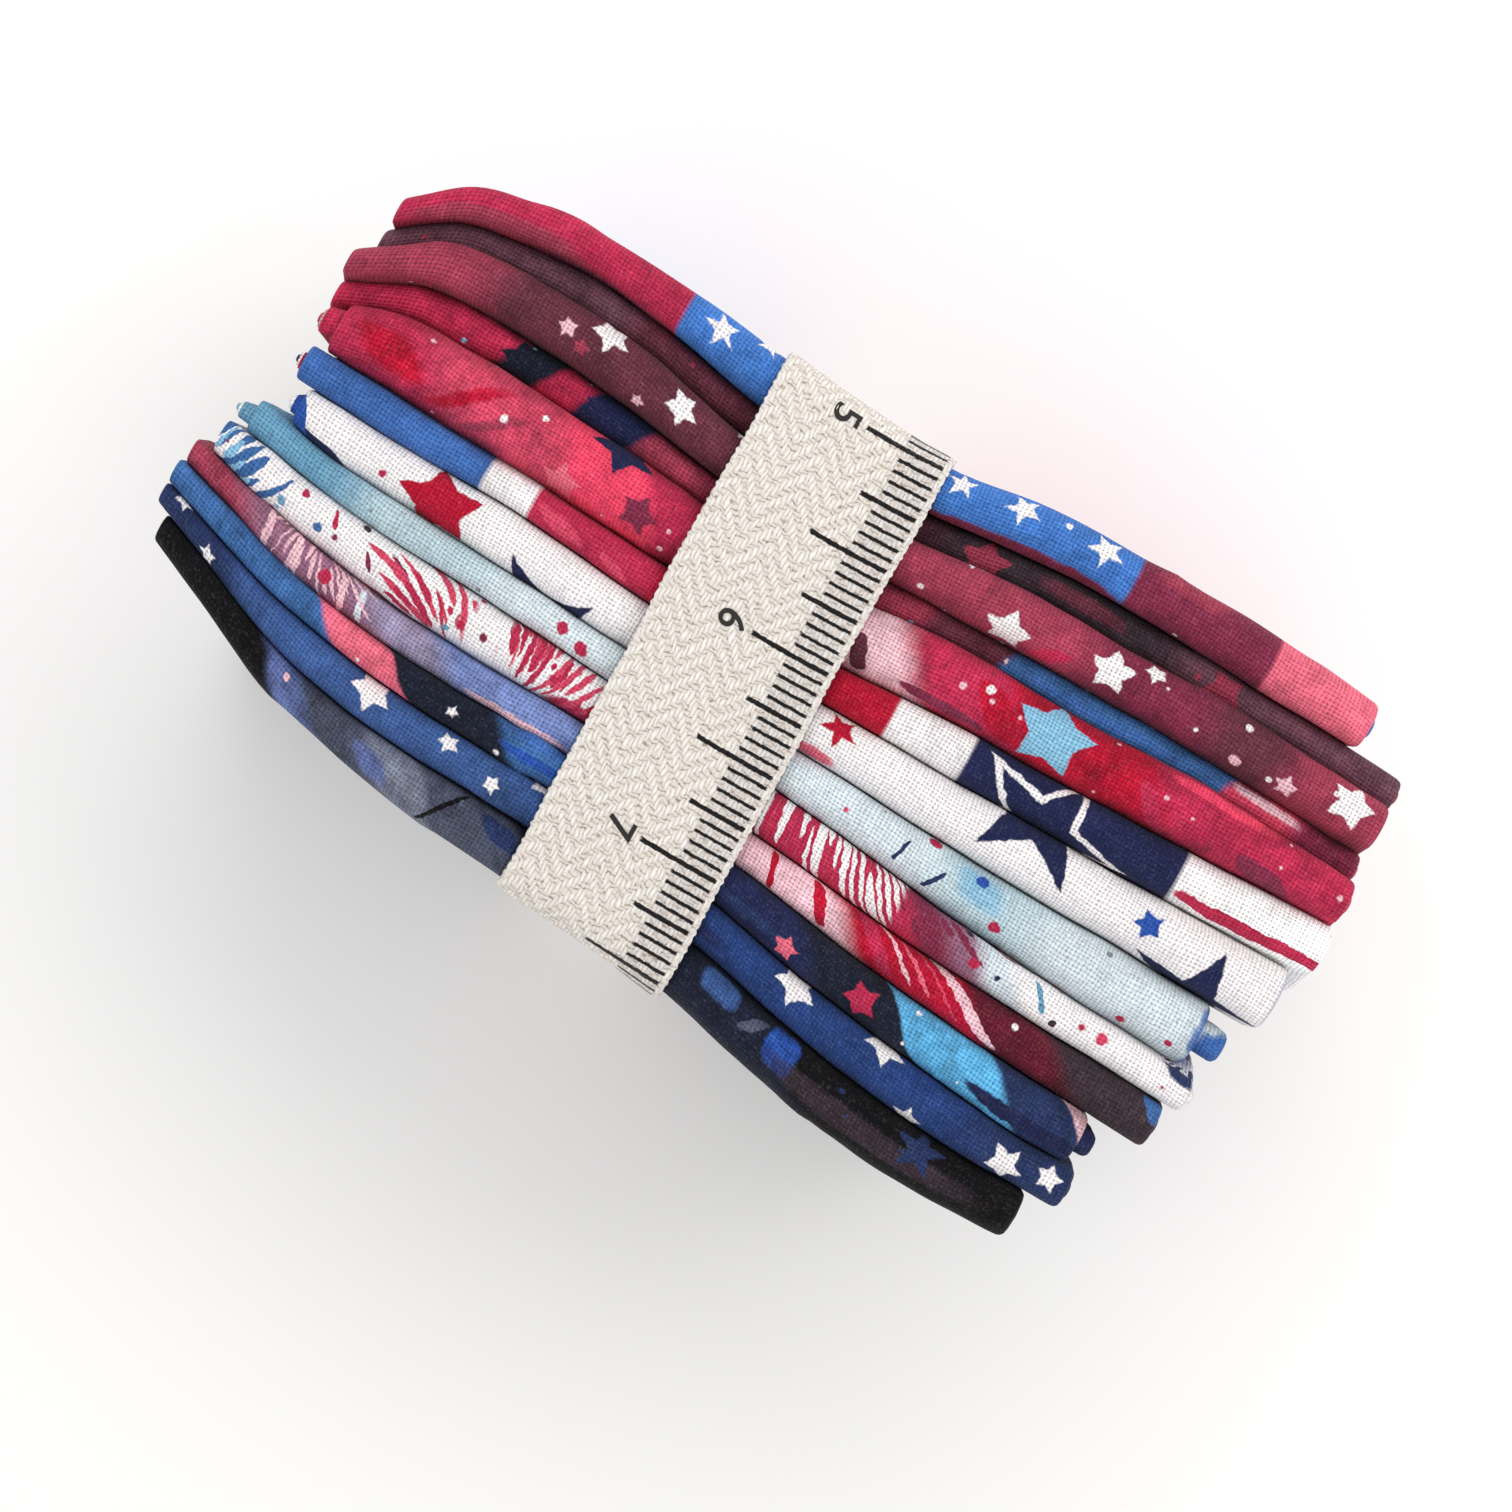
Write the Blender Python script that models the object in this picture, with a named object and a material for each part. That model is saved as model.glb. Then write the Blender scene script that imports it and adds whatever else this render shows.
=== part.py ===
# Fat quarter bundle: thirteen folded quarter yards of printed quilting cotton, held by one ruler-print
# cotton tape. The folds stand up, the open edges stand on the surface, and the folds run along X.
# Lengths are in millimetres until a mesh is written, and +Y is the back of the stack.

import math

import bpy
import numpy as np

MM = 0.001

# The stack as it stands: height to the highest fold, and where its box's middle lies on the level
# sheet of measurements that the tables below use.
STACK_HEIGHT = 113.4
MIDDLE_X = 1.75
MIDDLE_Y = 0.872

# Cloth: each quarter is folded in four down its height, and each of its four passes is a sheet.
# The seams between quarters run straight up to the shoulder and then swell with the folds.
QUARTER_COUNT = 13
GAP = 0.34
FLOOR_PITCH = 5.12
FLOOR_BEND = 0.65
FLOOR_EVENNESS = 0.5
SHOULDER_HEIGHT = 99.0
CREASE_HEIGHT = 105.0
LOWEST_FOLD_BASE = 105.5
FOLD_LEVEL = 110.5
FOLD_ROUNDNESS = 1.08
FOOT_ROUNDING = 0.45
OUTER_FOLD_STEPS = 5
INNER_FOLD_STEPS = 4
SMOOTH_ANGLE = math.radians(50)

# Tape: it presses the folds down a little and lies flush in a shallow channel under the open edges.
# Its two ends lap on the back face.
TAPE_LEFT = -13.6
TAPE_RIGHT = 8.4
TAPE_THICKNESS = 1.0
TAPE_PINCH = 0.8
CHANNEL_MARGIN = 0.4
CHANNEL_RAMP = 1.7
LAP_START = 48.0
LAP_RAMP_LOW = 39.0
LAP_RAMP_HIGH = 46.0
LAP_END = 62.0

# Where the seams between neighbouring quarters lie at the level of the folds: the Y of each at
# seven places along X, one row for each seam from the back of the stack to the front.
SEAM_PLACES = {
    "left_end": -58.0,
    "left_bend": -52.0,
    "left": -38.0,
    "tape_left": -14.0,
    "tape_right": 9.0,
    "right": 34.0,
    "right_end": 60.0,
}
SEAMS = (
    (31.0, 35.6, 38.0, 36.0, 34.2, 35.8, 34.2),
    (27.8, 31.8, 33.8, 29.8, 28.5, 30.0, 28.6),
    (24.8, 28.6, 30.2, 26.2, 25.4, 26.2, 25.4),
    (21.4, 24.0, 24.1, 21.0, 20.3, 20.3, 19.6),
    (18.0, 20.0, 19.9, 17.9, 17.3, 17.2, 16.6),
    (12.0, 11.6, 10.8, 9.4, 9.3, 9.9, 10.4),
    (8.0, 7.5, 7.0, 5.2, 4.8, 4.4, 4.4),
    (3.6, 2.4, 1.2, -0.4, -1.1, -2.3, -3.2),
    (-0.2, -1.2, -2.5, -4.4, -6.0, -9.0, -11.2),
    (-4.8, -6.5, -8.6, -9.8, -11.3, -13.8, -15.2),
    (-8.0, -9.8, -12.6, -13.6, -15.3, -18.7, -20.7),
    (-11.2, -13.3, -16.1, -17.7, -20.0, -24.5, -26.4),
    (-14.3, -16.9, -20.8, -22.6, -24.8, -29.9, -31.2),
    (-17.8, -20.6, -25.4, -28.8, -31.5, -36.6, -36.2),
)

# One row for each quarter from back to front: where its folded ends lie along X, how far its fold
# sits below the highest one, and its main colour.
QUARTER_COLUMNS = ("left", "right", "drop", "colour")
QUARTERS = (
    (-58.0, 61.5, 0.8, (0.21, 0.30, 0.62)),
    (-58.5, 68.0, 4.4, (0.10, 0.06, 0.07)),
    (-60.0, 67.8, 0.2, (0.36, 0.05, 0.08)),
    (-60.0, 68.0, 4.0, (0.28, 0.05, 0.09)),
    (-59.0, 68.5, 0.0, (0.48, 0.05, 0.09)),
    (-59.5, 69.0, 0.7, (0.66, 0.62, 0.64)),
    (-58.0, 67.0, 0.5, (0.80, 0.80, 0.80)),
    (-62.0, 63.0, 0.9, (0.48, 0.60, 0.66)),
    (-63.0, 63.5, 0.6, (0.62, 0.56, 0.60)),
    (-65.0, 62.0, 0.9, (0.52, 0.36, 0.46)),
    (-65.5, 56.5, 0.5, (0.12, 0.24, 0.42)),
    (-65.5, 57.0, 0.8, (0.10, 0.22, 0.44)),
    (-64.0, 53.5, 1.4, (0.05, 0.06, 0.12)),
)
CLOTH_ROUGHNESS = 0.9
TAPE_COLOUR = (0.66, 0.58, 0.45)
TAPE_ROUGHNESS = 0.85


def quarter_column(name):
    place = QUARTER_COLUMNS.index(name)
    return [row[place] for row in QUARTERS]


QUARTER_LEFT = quarter_column("left")
QUARTER_RIGHT = quarter_column("right")
QUARTER_DROP = quarter_column("drop")
QUARTER_COLOUR = quarter_column("colour")

# The quarters are straight between these stations along X, which they all share. The channel for
# the tape is between its two edges, with a ramp outside each.
CHANNEL_STATIONS = (
    TAPE_LEFT - CHANNEL_MARGIN - CHANNEL_RAMP,
    TAPE_LEFT - CHANNEL_MARGIN,
    TAPE_RIGHT + CHANNEL_MARGIN,
    TAPE_RIGHT + CHANNEL_MARGIN + CHANNEL_RAMP,
)
INNER_STATIONS = (
    SEAM_PLACES["left_bend"],
    SEAM_PLACES["left"],
    *CHANNEL_STATIONS,
    SEAM_PLACES["right"],
)


def along(x, places, values):
    """Straight interpolation that also carries on past both ends."""
    if x <= places[0]:
        slope = (values[1] - values[0]) / (places[1] - places[0])
        return values[0] + slope * (x - places[0])
    if x >= places[-1]:
        slope = (values[-1] - values[-2]) / (places[-1] - places[-2])
        return values[-1] + slope * (x - places[-1])
    return float(np.interp(x, places, values))


def seam(index, x, z):
    """The Y of one seam between quarters: even at the floor, uneven where the folds swell."""
    places = tuple(SEAM_PLACES.values())
    swollen = along(x, places, SEAMS[index])
    back = along(x, places, SEAMS[0])
    front = along(x, places, SEAMS[-1])
    squeezed_pitch = (back - front) / QUARTER_COUNT
    even = back - squeezed_pitch * index
    pitch = squeezed_pitch + (FLOOR_PITCH - squeezed_pitch) * FLOOR_EVENNESS
    floor = FLOOR_BEND * (back + front) / 2 + pitch * (QUARTER_COUNT / 2 - index)
    if z <= SHOULDER_HEIGHT:
        return floor + (even - floor) * z / SHOULDER_HEIGHT
    rise = min(1.0, (z - SHOULDER_HEIGHT) / (FOLD_LEVEL - SHOULDER_HEIGHT))
    swell = rise * rise * (3 - 2 * rise)
    return even + (swollen - even) * swell


def tape_share(x):
    """1 under the tape, 0 beside it, with a short ramp between."""
    return float(np.interp(x, CHANNEL_STATIONS, (0.0, 1.0, 1.0, 0.0)))


class Section:
    """One quarter cut across at x. Its four passes are A, B, C and D from back to front: A and D
    are joined by the outer fold at the top, B and C by the inner one, and A and B at the bottom."""

    def __init__(self, index, x):
        self.index = index
        self.x = x
        self.bottom = (TAPE_THICKNESS + GAP) * tape_share(x)
        self.top = STACK_HEIGHT - QUARTER_DROP[index] - TAPE_PINCH * tape_share(x)
        roundest = FOLD_ROUNDNESS * self.width(FOLD_LEVEL) / 2
        self.fold_height = min(roundest, self.top - LOWEST_FOLD_BASE)
        self.base = self.top - self.fold_height
        self.levels = (self.bottom, SHOULDER_HEIGHT, CREASE_HEIGHT, self.base)
        self.foot_radius = FOOT_ROUNDING * self.sheet(self.bottom)

    def faces(self, z):
        back = seam(self.index, self.x, z) - GAP / 2
        front = seam(self.index + 1, self.x, z) + GAP / 2
        return back, front

    def width(self, z):
        back, front = self.faces(z)
        return back - front

    def sheet(self, z):
        return (self.width(z) - 3 * GAP) / 4

    def across(self, sheets, gaps, z):
        """The Y at height z after so many sheets and gaps, counted from the quarter's back face."""
        back, _ = self.faces(z)
        return back - sheets * self.sheet(z) - gaps * GAP

    def rise(self, sheets, gaps, first=0):
        return [(self.across(sheets, gaps, z), z) for z in self.levels[first:]]

    def fall(self, sheets, gaps, first=0):
        return self.rise(sheets, gaps, first)[::-1]

    def fold(self, inset, steps, direction):
        """A top fold's points between its two sides, so far inside the outer face. The direction
        is 1 from the back over to the front and -1 from the front over to the back."""
        back, front = self.faces(self.base)
        middle = (back + front) / 2
        half = (back - front) / 2 - inset
        height = self.fold_height - inset
        angles = [math.pi * step / steps for step in range(1, steps)]
        return [
            (middle + direction * half * math.cos(angle), self.base + height * math.sin(angle))
            for angle in angles
        ]

    def foot(self):
        """The outer side of the bottom fold, from pass B to pass A."""
        low = self.bottom
        radius = self.foot_radius
        inner = self.across(2, 1, low)
        outer = self.across(0, 0, low)
        return [(inner, low + radius), (inner + radius, low), (outer - radius, low), (outer, low + radius)]

    def foot_hollow(self):
        """The inner side of the bottom fold, from pass B to pass A."""
        low = self.bottom
        top = low + self.sheet(low)
        return [(self.across(1, 1, low), top), (self.across(1, 0, low), top)]

    def outline(self):
        """The whole closed outline, along one side of the folded sheet and back along the other."""
        sheet = self.sheet(self.base)
        one_side = self.rise(3, 2) + self.fold(sheet + GAP, INNER_FOLD_STEPS, -1)
        one_side += self.fall(1, 1, 1) + self.foot_hollow() + self.rise(1, 0, 1)
        one_side += self.fold(sheet, OUTER_FOLD_STEPS, 1) + self.fall(3, 3)
        other_side = self.rise(2, 2) + self.fold(2 * sheet + GAP, INNER_FOLD_STEPS, -1)
        other_side += self.fall(2, 1, 1) + self.foot() + self.rise(0, 0, 1)
        other_side += self.fold(0, OUTER_FOLD_STEPS, 1) + self.fall(4, 3)
        return one_side + other_side[::-1]

    def crown(self):
        """The outer face, from under the back corner over the fold to the front corner."""
        return self.foot()[2:] + self.rise(0, 0, 1) + self.fold(0, OUTER_FOLD_STEPS, 1) + self.fall(4, 3)


def to_metres(x, point):
    y, z = point
    return (x - MIDDLE_X) * MM, (y - MIDDLE_Y) * MM, z * MM


def swept_mesh(name, loops):
    """A closed body from equal outlines, one for each station, with a flat cap at each end.

    Each four-sided face is split from its low left corner to its high right one, on whichever side
    of a seam it lies, so that twisted faces that look at each other stay the same way apart.
    """
    count = len(loops[0])
    vertices = [vertex for loop in loops for vertex in loop]
    faces = []
    for row in range(len(loops) - 1):
        for step in range(count):
            after = (step + 1) % count
            here = row * count
            there = here + count
            rising = vertices[here + after][2] >= vertices[here + step][2]
            if rising:
                faces.append((here + step, there + step, there + after))
                faces.append((here + step, there + after, here + after))
            else:
                faces.append((here + step, there + step, here + after))
                faces.append((there + step, there + after, here + after))
    last = (len(loops) - 1) * count
    faces.append(tuple(range(count)))
    faces.append(tuple(last + step for step in range(count))[::-1])
    mesh = bpy.data.meshes.new(name)
    mesh.from_pydata(vertices, [], faces)
    mesh.validate()
    return mesh


def cloth_material(name, colour, roughness):
    material = bpy.data.materials.new(name)
    material.use_nodes = True
    shader = material.node_tree.nodes["Principled BSDF"]
    shader.inputs["Base Color"].default_value = (*colour, 1.0)
    shader.inputs["Roughness"].default_value = roughness
    shader.inputs["Metallic"].default_value = 0.0
    return material


def add_cloth(name, loops, colour, roughness):
    mesh = swept_mesh(name, loops)
    mesh.materials.append(cloth_material(name, colour, roughness))
    mesh.shade_smooth()
    mesh.set_sharp_from_angle(angle=SMOOTH_ANGLE)
    piece = bpy.data.objects.new(name, mesh)
    bpy.context.scene.collection.objects.link(piece)


def build_quarter(index):
    stations = (QUARTER_LEFT[index], *INNER_STATIONS, QUARTER_RIGHT[index])
    loops = [[to_metres(x, point) for point in Section(index, x).outline()] for x in stations]
    add_cloth(f"quarter_{index + 1:02d}", loops, QUARTER_COLOUR[index], CLOTH_ROUGHNESS)


def stack_crowns(x):
    return [point for index in range(QUARTER_COUNT) for point in Section(index, x).crown()]


def hull_order(points):
    """The indices of the points on their convex hull, counter-clockwise in Y and Z."""
    order = sorted(range(len(points)), key=lambda i: points[i])

    def turn(a, b, c):
        (ay, az), (by, bz), (cy, cz) = points[a], points[b], points[c]
        return (by - ay) * (cz - az) - (bz - az) * (cy - ay)

    def chain(indices):
        kept = []
        for i in indices:
            while len(kept) > 1 and turn(kept[-2], kept[-1], i) <= 0:
                kept.pop()
            kept.append(i)
        return kept[:-1]

    return chain(order) + chain(order[::-1])


def pushed_out(path, offsets):
    """The path moved outward at each point by its own offset, with both ends cut square."""
    points = [np.array(point) for point in path]
    points = [2 * points[0] - points[1]] + points + [2 * points[-1] - points[-2]]
    moved = []
    for before, point, after, offset in zip(points, points[1:], points[2:], offsets):
        into = (point - before) / np.linalg.norm(point - before)
        out = (after - point) / np.linalg.norm(after - point)
        bisector = (into + out) / np.linalg.norm(into + out)
        reach = offset / float(bisector @ out)
        moved.append((point[0] + bisector[1] * reach, point[1] - bisector[0] * reach))
    return moved


def tape_outline(x, order):
    """The tape cut across at x: once round the stack's hull, from the lap's inner end to its outer one."""
    crowns = stack_crowns(x)
    hull = [crowns[i] for i in order]
    on_back = [i for i, (y, z) in enumerate(hull) if y > 0 and z > LAP_END]
    first = min(on_back, key=lambda i: hull[i][1])
    hull = hull[first:] + hull[:first]
    corner_y, corner_z = hull[-1]
    shoulder_y, shoulder_z = hull[0]

    def back_face(z):
        share = (z - corner_z) / (shoulder_z - corner_z)
        return corner_y + (shoulder_y - corner_y) * share, z

    path = [back_face(LAP_START)] + hull + [back_face(LAP_RAMP_LOW)]
    layer = GAP + TAPE_THICKNESS
    inner = [GAP] * len(path) + [GAP + layer] * 2
    outer = [layer] * len(path) + [2 * layer] * 2
    path += [back_face(LAP_RAMP_HIGH), back_face(LAP_END)]
    return pushed_out(path, inner) + pushed_out(path, outer)[::-1]


def build_tape():
    order = hull_order(stack_crowns((TAPE_LEFT + TAPE_RIGHT) / 2))
    edges = (TAPE_LEFT, TAPE_RIGHT)
    loops = [[to_metres(x, point) for point in tape_outline(x, order)] for x in edges]
    add_cloth("ruler_tape", loops, TAPE_COLOUR, TAPE_ROUGHNESS)


for leftover in list(bpy.data.objects):
    bpy.data.objects.remove(leftover, do_unlink=True)
for quarter in range(QUARTER_COUNT):
    build_quarter(quarter)
build_tape()
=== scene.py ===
import math

import bpy
import numpy as np
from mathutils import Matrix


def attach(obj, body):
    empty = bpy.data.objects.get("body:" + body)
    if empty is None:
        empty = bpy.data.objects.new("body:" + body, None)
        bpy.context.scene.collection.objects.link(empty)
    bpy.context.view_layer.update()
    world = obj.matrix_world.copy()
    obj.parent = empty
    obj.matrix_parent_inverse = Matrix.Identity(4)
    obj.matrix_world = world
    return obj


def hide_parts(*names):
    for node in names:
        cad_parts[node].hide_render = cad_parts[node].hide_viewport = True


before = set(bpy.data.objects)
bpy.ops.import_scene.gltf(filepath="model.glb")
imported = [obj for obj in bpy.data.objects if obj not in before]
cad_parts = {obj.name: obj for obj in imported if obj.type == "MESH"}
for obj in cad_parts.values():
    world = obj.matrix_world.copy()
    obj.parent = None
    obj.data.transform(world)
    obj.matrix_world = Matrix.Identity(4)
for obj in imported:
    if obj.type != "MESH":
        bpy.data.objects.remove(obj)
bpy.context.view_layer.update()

# Thirteen folded fat quarters of printed cotton, held by one ruler-print tape. Lengths below are in
# millimetres on the level sheet of measurements that the solids share, with +X along the folds and
# +Y to the back of the stack. A quarter's cloth is laid out in u, along its length, and v, down its
# width. It is folded in four both ways, so 16 plies lie across it.

MM = 0.001
MIDDLE_X = 1.75
MIDDLE_Y = 0.872
STACK_HEIGHT = 113.4
QUARTER_COUNT = 13

# How the seams between quarters run up from the surface, as in the solids.
GAP = 0.06
FLOOR_PITCH = 5.12
FLOOR_BEND = 0.65
FLOOR_EVENNESS = 0.5
SHOULDER_HEIGHT = 99.0
FOLD_LEVEL = 110.5
LOWEST_FOLD_BASE = 105.5
FOLD_ROUNDNESS = 1.08
FOLD_FULLNESS = 2.08

# The plies: their thickness as a share of their pitch, and how they turn at the folded ends.
PLIES = 16
PLY_SHARE = 0.36
END_DROP = 1.1
END_ROOM = 0.5
END_DROP_REACH = 2.6
END_EASE = 0.09
END_PITCH = 0.43
PLY_PITCH = 0.33

# The cloth's own unevenness: the waves of the seams and of the fold tops, how far the fold tops sit
# below the solids' highest point, and how high the open edges stand, from the outermost ply inward.
SEAM_WAVE = 0.22
FOLD_RIPPLE = 0.32
FOLD_SINK = 0.3
OPEN_EDGE_LIFT = 0.15
OPEN_EDGE_STEP = 0.35

# Steps of the cloth grid.
OUTER_RUN_STEPS = 84
INNER_RUN_SHARE = 3
TURN_STEPS = 6
PASS_STEPS = 13
OUTER_FOLD_STEPS = 18
INNER_FOLD_STEPS = 8
BOTTOM_FOLD_STEPS = 6

# The tape and the channel that it lies in.
TAPE_LEFT = -13.3
TAPE_RIGHT = 8.1
TAPE_THICKNESS = 0.8
TAPE_CLEARANCE = 0.33
TAPE_PINCH = 0.8
CHANNEL_DEPTH = 1.34
CHANNEL_MARGIN = 0.7
CHANNEL_RAMP = 2.2
LAP_START = 48.0
LAP_RAMP_LOW = 39.0
LAP_RAMP_HIGH = 46.0
LAP_END = 61.5

# The Y of each seam at the level of the folds, at places along X, one row for each seam from the
# back of the stack to the front.
SEAM_PLACES = {
    "left_end": -58.0, "left_bend": -52.0, "left_shoulder": -45.0, "left": -38.0, "left_inner": -28.0,
    "tape_left": -14.0, "tape_right": 9.0, "right_inner": 20.0, "right": 34.0, "right_outer": 48.0,
    "right_end": 60.0,
}
SEAMS = (
    (31.0, 35.6, 37.5, 38.0, 37.5, 36.0, 34.2, 35.6, 35.8, 35.4, 34.2),
    (27.8, 31.8, 33.2, 33.8, 32.6, 29.8, 28.5, 29.5, 30.0, 29.1, 28.6),
    (24.8, 28.6, 30.2, 30.2, 29.5, 26.2, 25.4, 26.4, 26.2, 26.3, 25.4),
    (21.4, 24.0, 24.4, 24.1, 23.2, 21.0, 20.3, 20.3, 20.3, 20.0, 19.6),
    (18.0, 20.0, 20.1, 19.9, 19.3, 17.9, 17.3, 17.8, 17.2, 17.5, 16.6),
    (12.0, 11.6, 11.1, 10.8, 10.4, 9.4, 9.3, 9.7, 9.9, 10.1, 10.4),
    (8.0, 7.5, 7.3, 7.0, 6.6, 5.2, 4.8, 4.6, 4.4, 4.2, 4.4),
    (3.6, 2.4, 1.6, 1.2, 0.6, -0.4, -1.1, -1.7, -2.3, -2.8, -3.2),
    (-0.2, -1.2, -1.8, -2.5, -3.2, -4.4, -6.0, -7.3, -9.0, -10.3, -11.2),
    (-4.8, -6.5, -7.6, -8.6, -9.4, -9.8, -11.3, -12.6, -13.8, -14.7, -15.2),
    (-8.0, -9.8, -11.5, -12.6, -13.3, -13.6, -15.3, -17.0, -18.7, -20.0, -20.7),
    (-11.2, -13.3, -15.0, -16.1, -17.1, -17.7, -20.0, -22.3, -24.5, -26.0, -26.4),
    (-14.3, -16.9, -19.3, -20.8, -21.9, -22.6, -24.8, -27.5, -29.9, -31.0, -31.2),
    (-17.8, -20.6, -23.4, -25.4, -27.5, -28.8, -31.5, -34.0, -36.6, -37.0, -36.2),
)

# One row for each quarter from back to front: its ends along X, how far its fold sits below the
# highest one, and how far its inner passes reach out past the outer ones at each end.
QUARTER_COLUMNS = ("left", "right", "drop", "inner_left", "inner_right")
QUARTERS = (
    (-58.0, 61.5, 0.8, 0.0, 0.4),
    (-58.5, 68.0, 4.4, 0.0, 0.3),
    (-60.0, 67.8, 0.2, 0.3, 0.2),
    (-60.0, 68.0, 4.0, 0.0, 0.3),
    (-57.5, 68.5, 0.0, -2.6, 0.4),
    (-59.0, 69.0, 0.7, -1.0, 0.2),
    (-57.0, 67.0, 0.5, -1.4, 0.0),
    (-61.0, 61.5, 0.9, -2.2, 3.2),
    (-63.0, 63.5, 0.6, -0.4, 0.6),
    (-65.0, 62.0, 0.9, 0.0, 0.3),
    (-65.5, 55.5, 0.5, 0.3, 1.8),
    (-65.5, 57.0, 0.8, 0.0, 0.3),
    (-64.0, 53.5, 1.4, 0.3, 0.2),
)


def quarter_value(index, name):
    return QUARTERS[index][QUARTER_COLUMNS.index(name)]


def smoothstep(value, low, high):
    share = np.clip((value - low) / (high - low), 0.0, 1.0)
    return share * share * (3 - 2 * share)


def smooth_along(x, places, values):
    """A smooth curve through the values, straight past both ends."""
    places = np.asarray(places, float)
    values = np.asarray(values, float)
    slopes = np.gradient(values, places)
    inside = np.clip(x, places[0], places[-1])
    right = np.clip(np.searchsorted(places, inside), 1, len(places) - 1)
    left = right - 1
    width = places[right] - places[left]
    t = (inside - places[left]) / width
    start = (1 + 2 * t) * (1 - t) ** 2 * values[left] + t * (1 - t) ** 2 * width * slopes[left]
    end = t * t * (3 - 2 * t) * values[right] + t * t * (t - 1) * width * slopes[right]
    past = np.where(x < places[0], slopes[0], slopes[-1]) * (x - inside)
    return start + end + past


def waves(x, seed, shortest=9.0):
    """A gentle uneven wave along X, from -1 to 1, different for each seed."""
    draw = np.random.default_rng(seed)
    total = 0.0
    for octave, weight in enumerate((0.5, 0.3, 0.2)):
        length = shortest * 4 / 2 ** octave * draw.uniform(0.85, 1.15)
        total = total + weight * np.sin(2 * math.pi * x / length + draw.uniform(0, 2 * math.pi))
    return total


def running_total(steps):
    return np.concatenate([[0.0], np.cumsum(steps)])


def spread(weights):
    """Places from 0 to 1 with steps in proportion to the weights."""
    total = running_total(weights)
    return total / total[-1]


def under_tape(x):
    """1 under the tape, 0 beside it, with a soft ramp between."""
    left = smoothstep(x, TAPE_LEFT - CHANNEL_MARGIN - CHANNEL_RAMP, TAPE_LEFT - CHANNEL_MARGIN)
    right = smoothstep(x, TAPE_RIGHT + CHANNEL_MARGIN, TAPE_RIGHT + CHANNEL_MARGIN + CHANNEL_RAMP)
    return left - right


def seam(index, x, z):
    """The Y of one seam between quarters: even at the surface, uneven where the folds swell."""
    places = tuple(SEAM_PLACES.values())
    swollen = smooth_along(x, places, SEAMS[index])
    back = smooth_along(x, places, SEAMS[0])
    front = smooth_along(x, places, SEAMS[-1])
    squeezed_pitch = (back - front) / QUARTER_COUNT
    even = back - squeezed_pitch * index
    pitch = squeezed_pitch + (FLOOR_PITCH - squeezed_pitch) * FLOOR_EVENNESS
    floor = FLOOR_BEND * (back + front) / 2 + pitch * (QUARTER_COUNT / 2 - index)
    wave = SEAM_WAVE * waves(x + 0.4 * z, 40 + index) * smoothstep(z, 8.0, 40.0)
    swell = smoothstep(z, SHOULDER_HEIGHT, FOLD_LEVEL)
    body = floor + (even - floor) * np.minimum(z / SHOULDER_HEIGHT, 1.0)
    return body + (swollen - even) * swell + wave * (1 - 0.4 * swell)


def level_point(y, z):
    return np.stack([y, z], axis=-1)


def end_drop(index, x):
    """How far a fold sinks where its folded end rounds over."""
    left = x - (quarter_value(index, "left") - END_ROOM)
    right = quarter_value(index, "right") + END_ROOM - x
    near = np.clip(1 - np.minimum(left, right) / END_DROP_REACH, 0.0, 1.0)
    return END_DROP * (1 - np.sqrt(np.clip(1 - near * near, 0.0, 1.0)))


def rounded(angle):
    """Cosine and sine of a fold that is a little fuller than a round one."""
    power = 2 / FOLD_FULLNESS
    cosine = np.cos(angle)
    sine = np.sin(angle)
    return np.sign(cosine) * np.abs(cosine) ** power, np.abs(sine) ** power


def fold_top(index, x):
    ripple = FOLD_RIPPLE * waves(x, 80 + index, 7.0)
    sink = TAPE_PINCH * under_tape(x) + end_drop(index, x)
    return STACK_HEIGHT - quarter_value(index, "drop") - FOLD_SINK + ripple - sink


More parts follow.
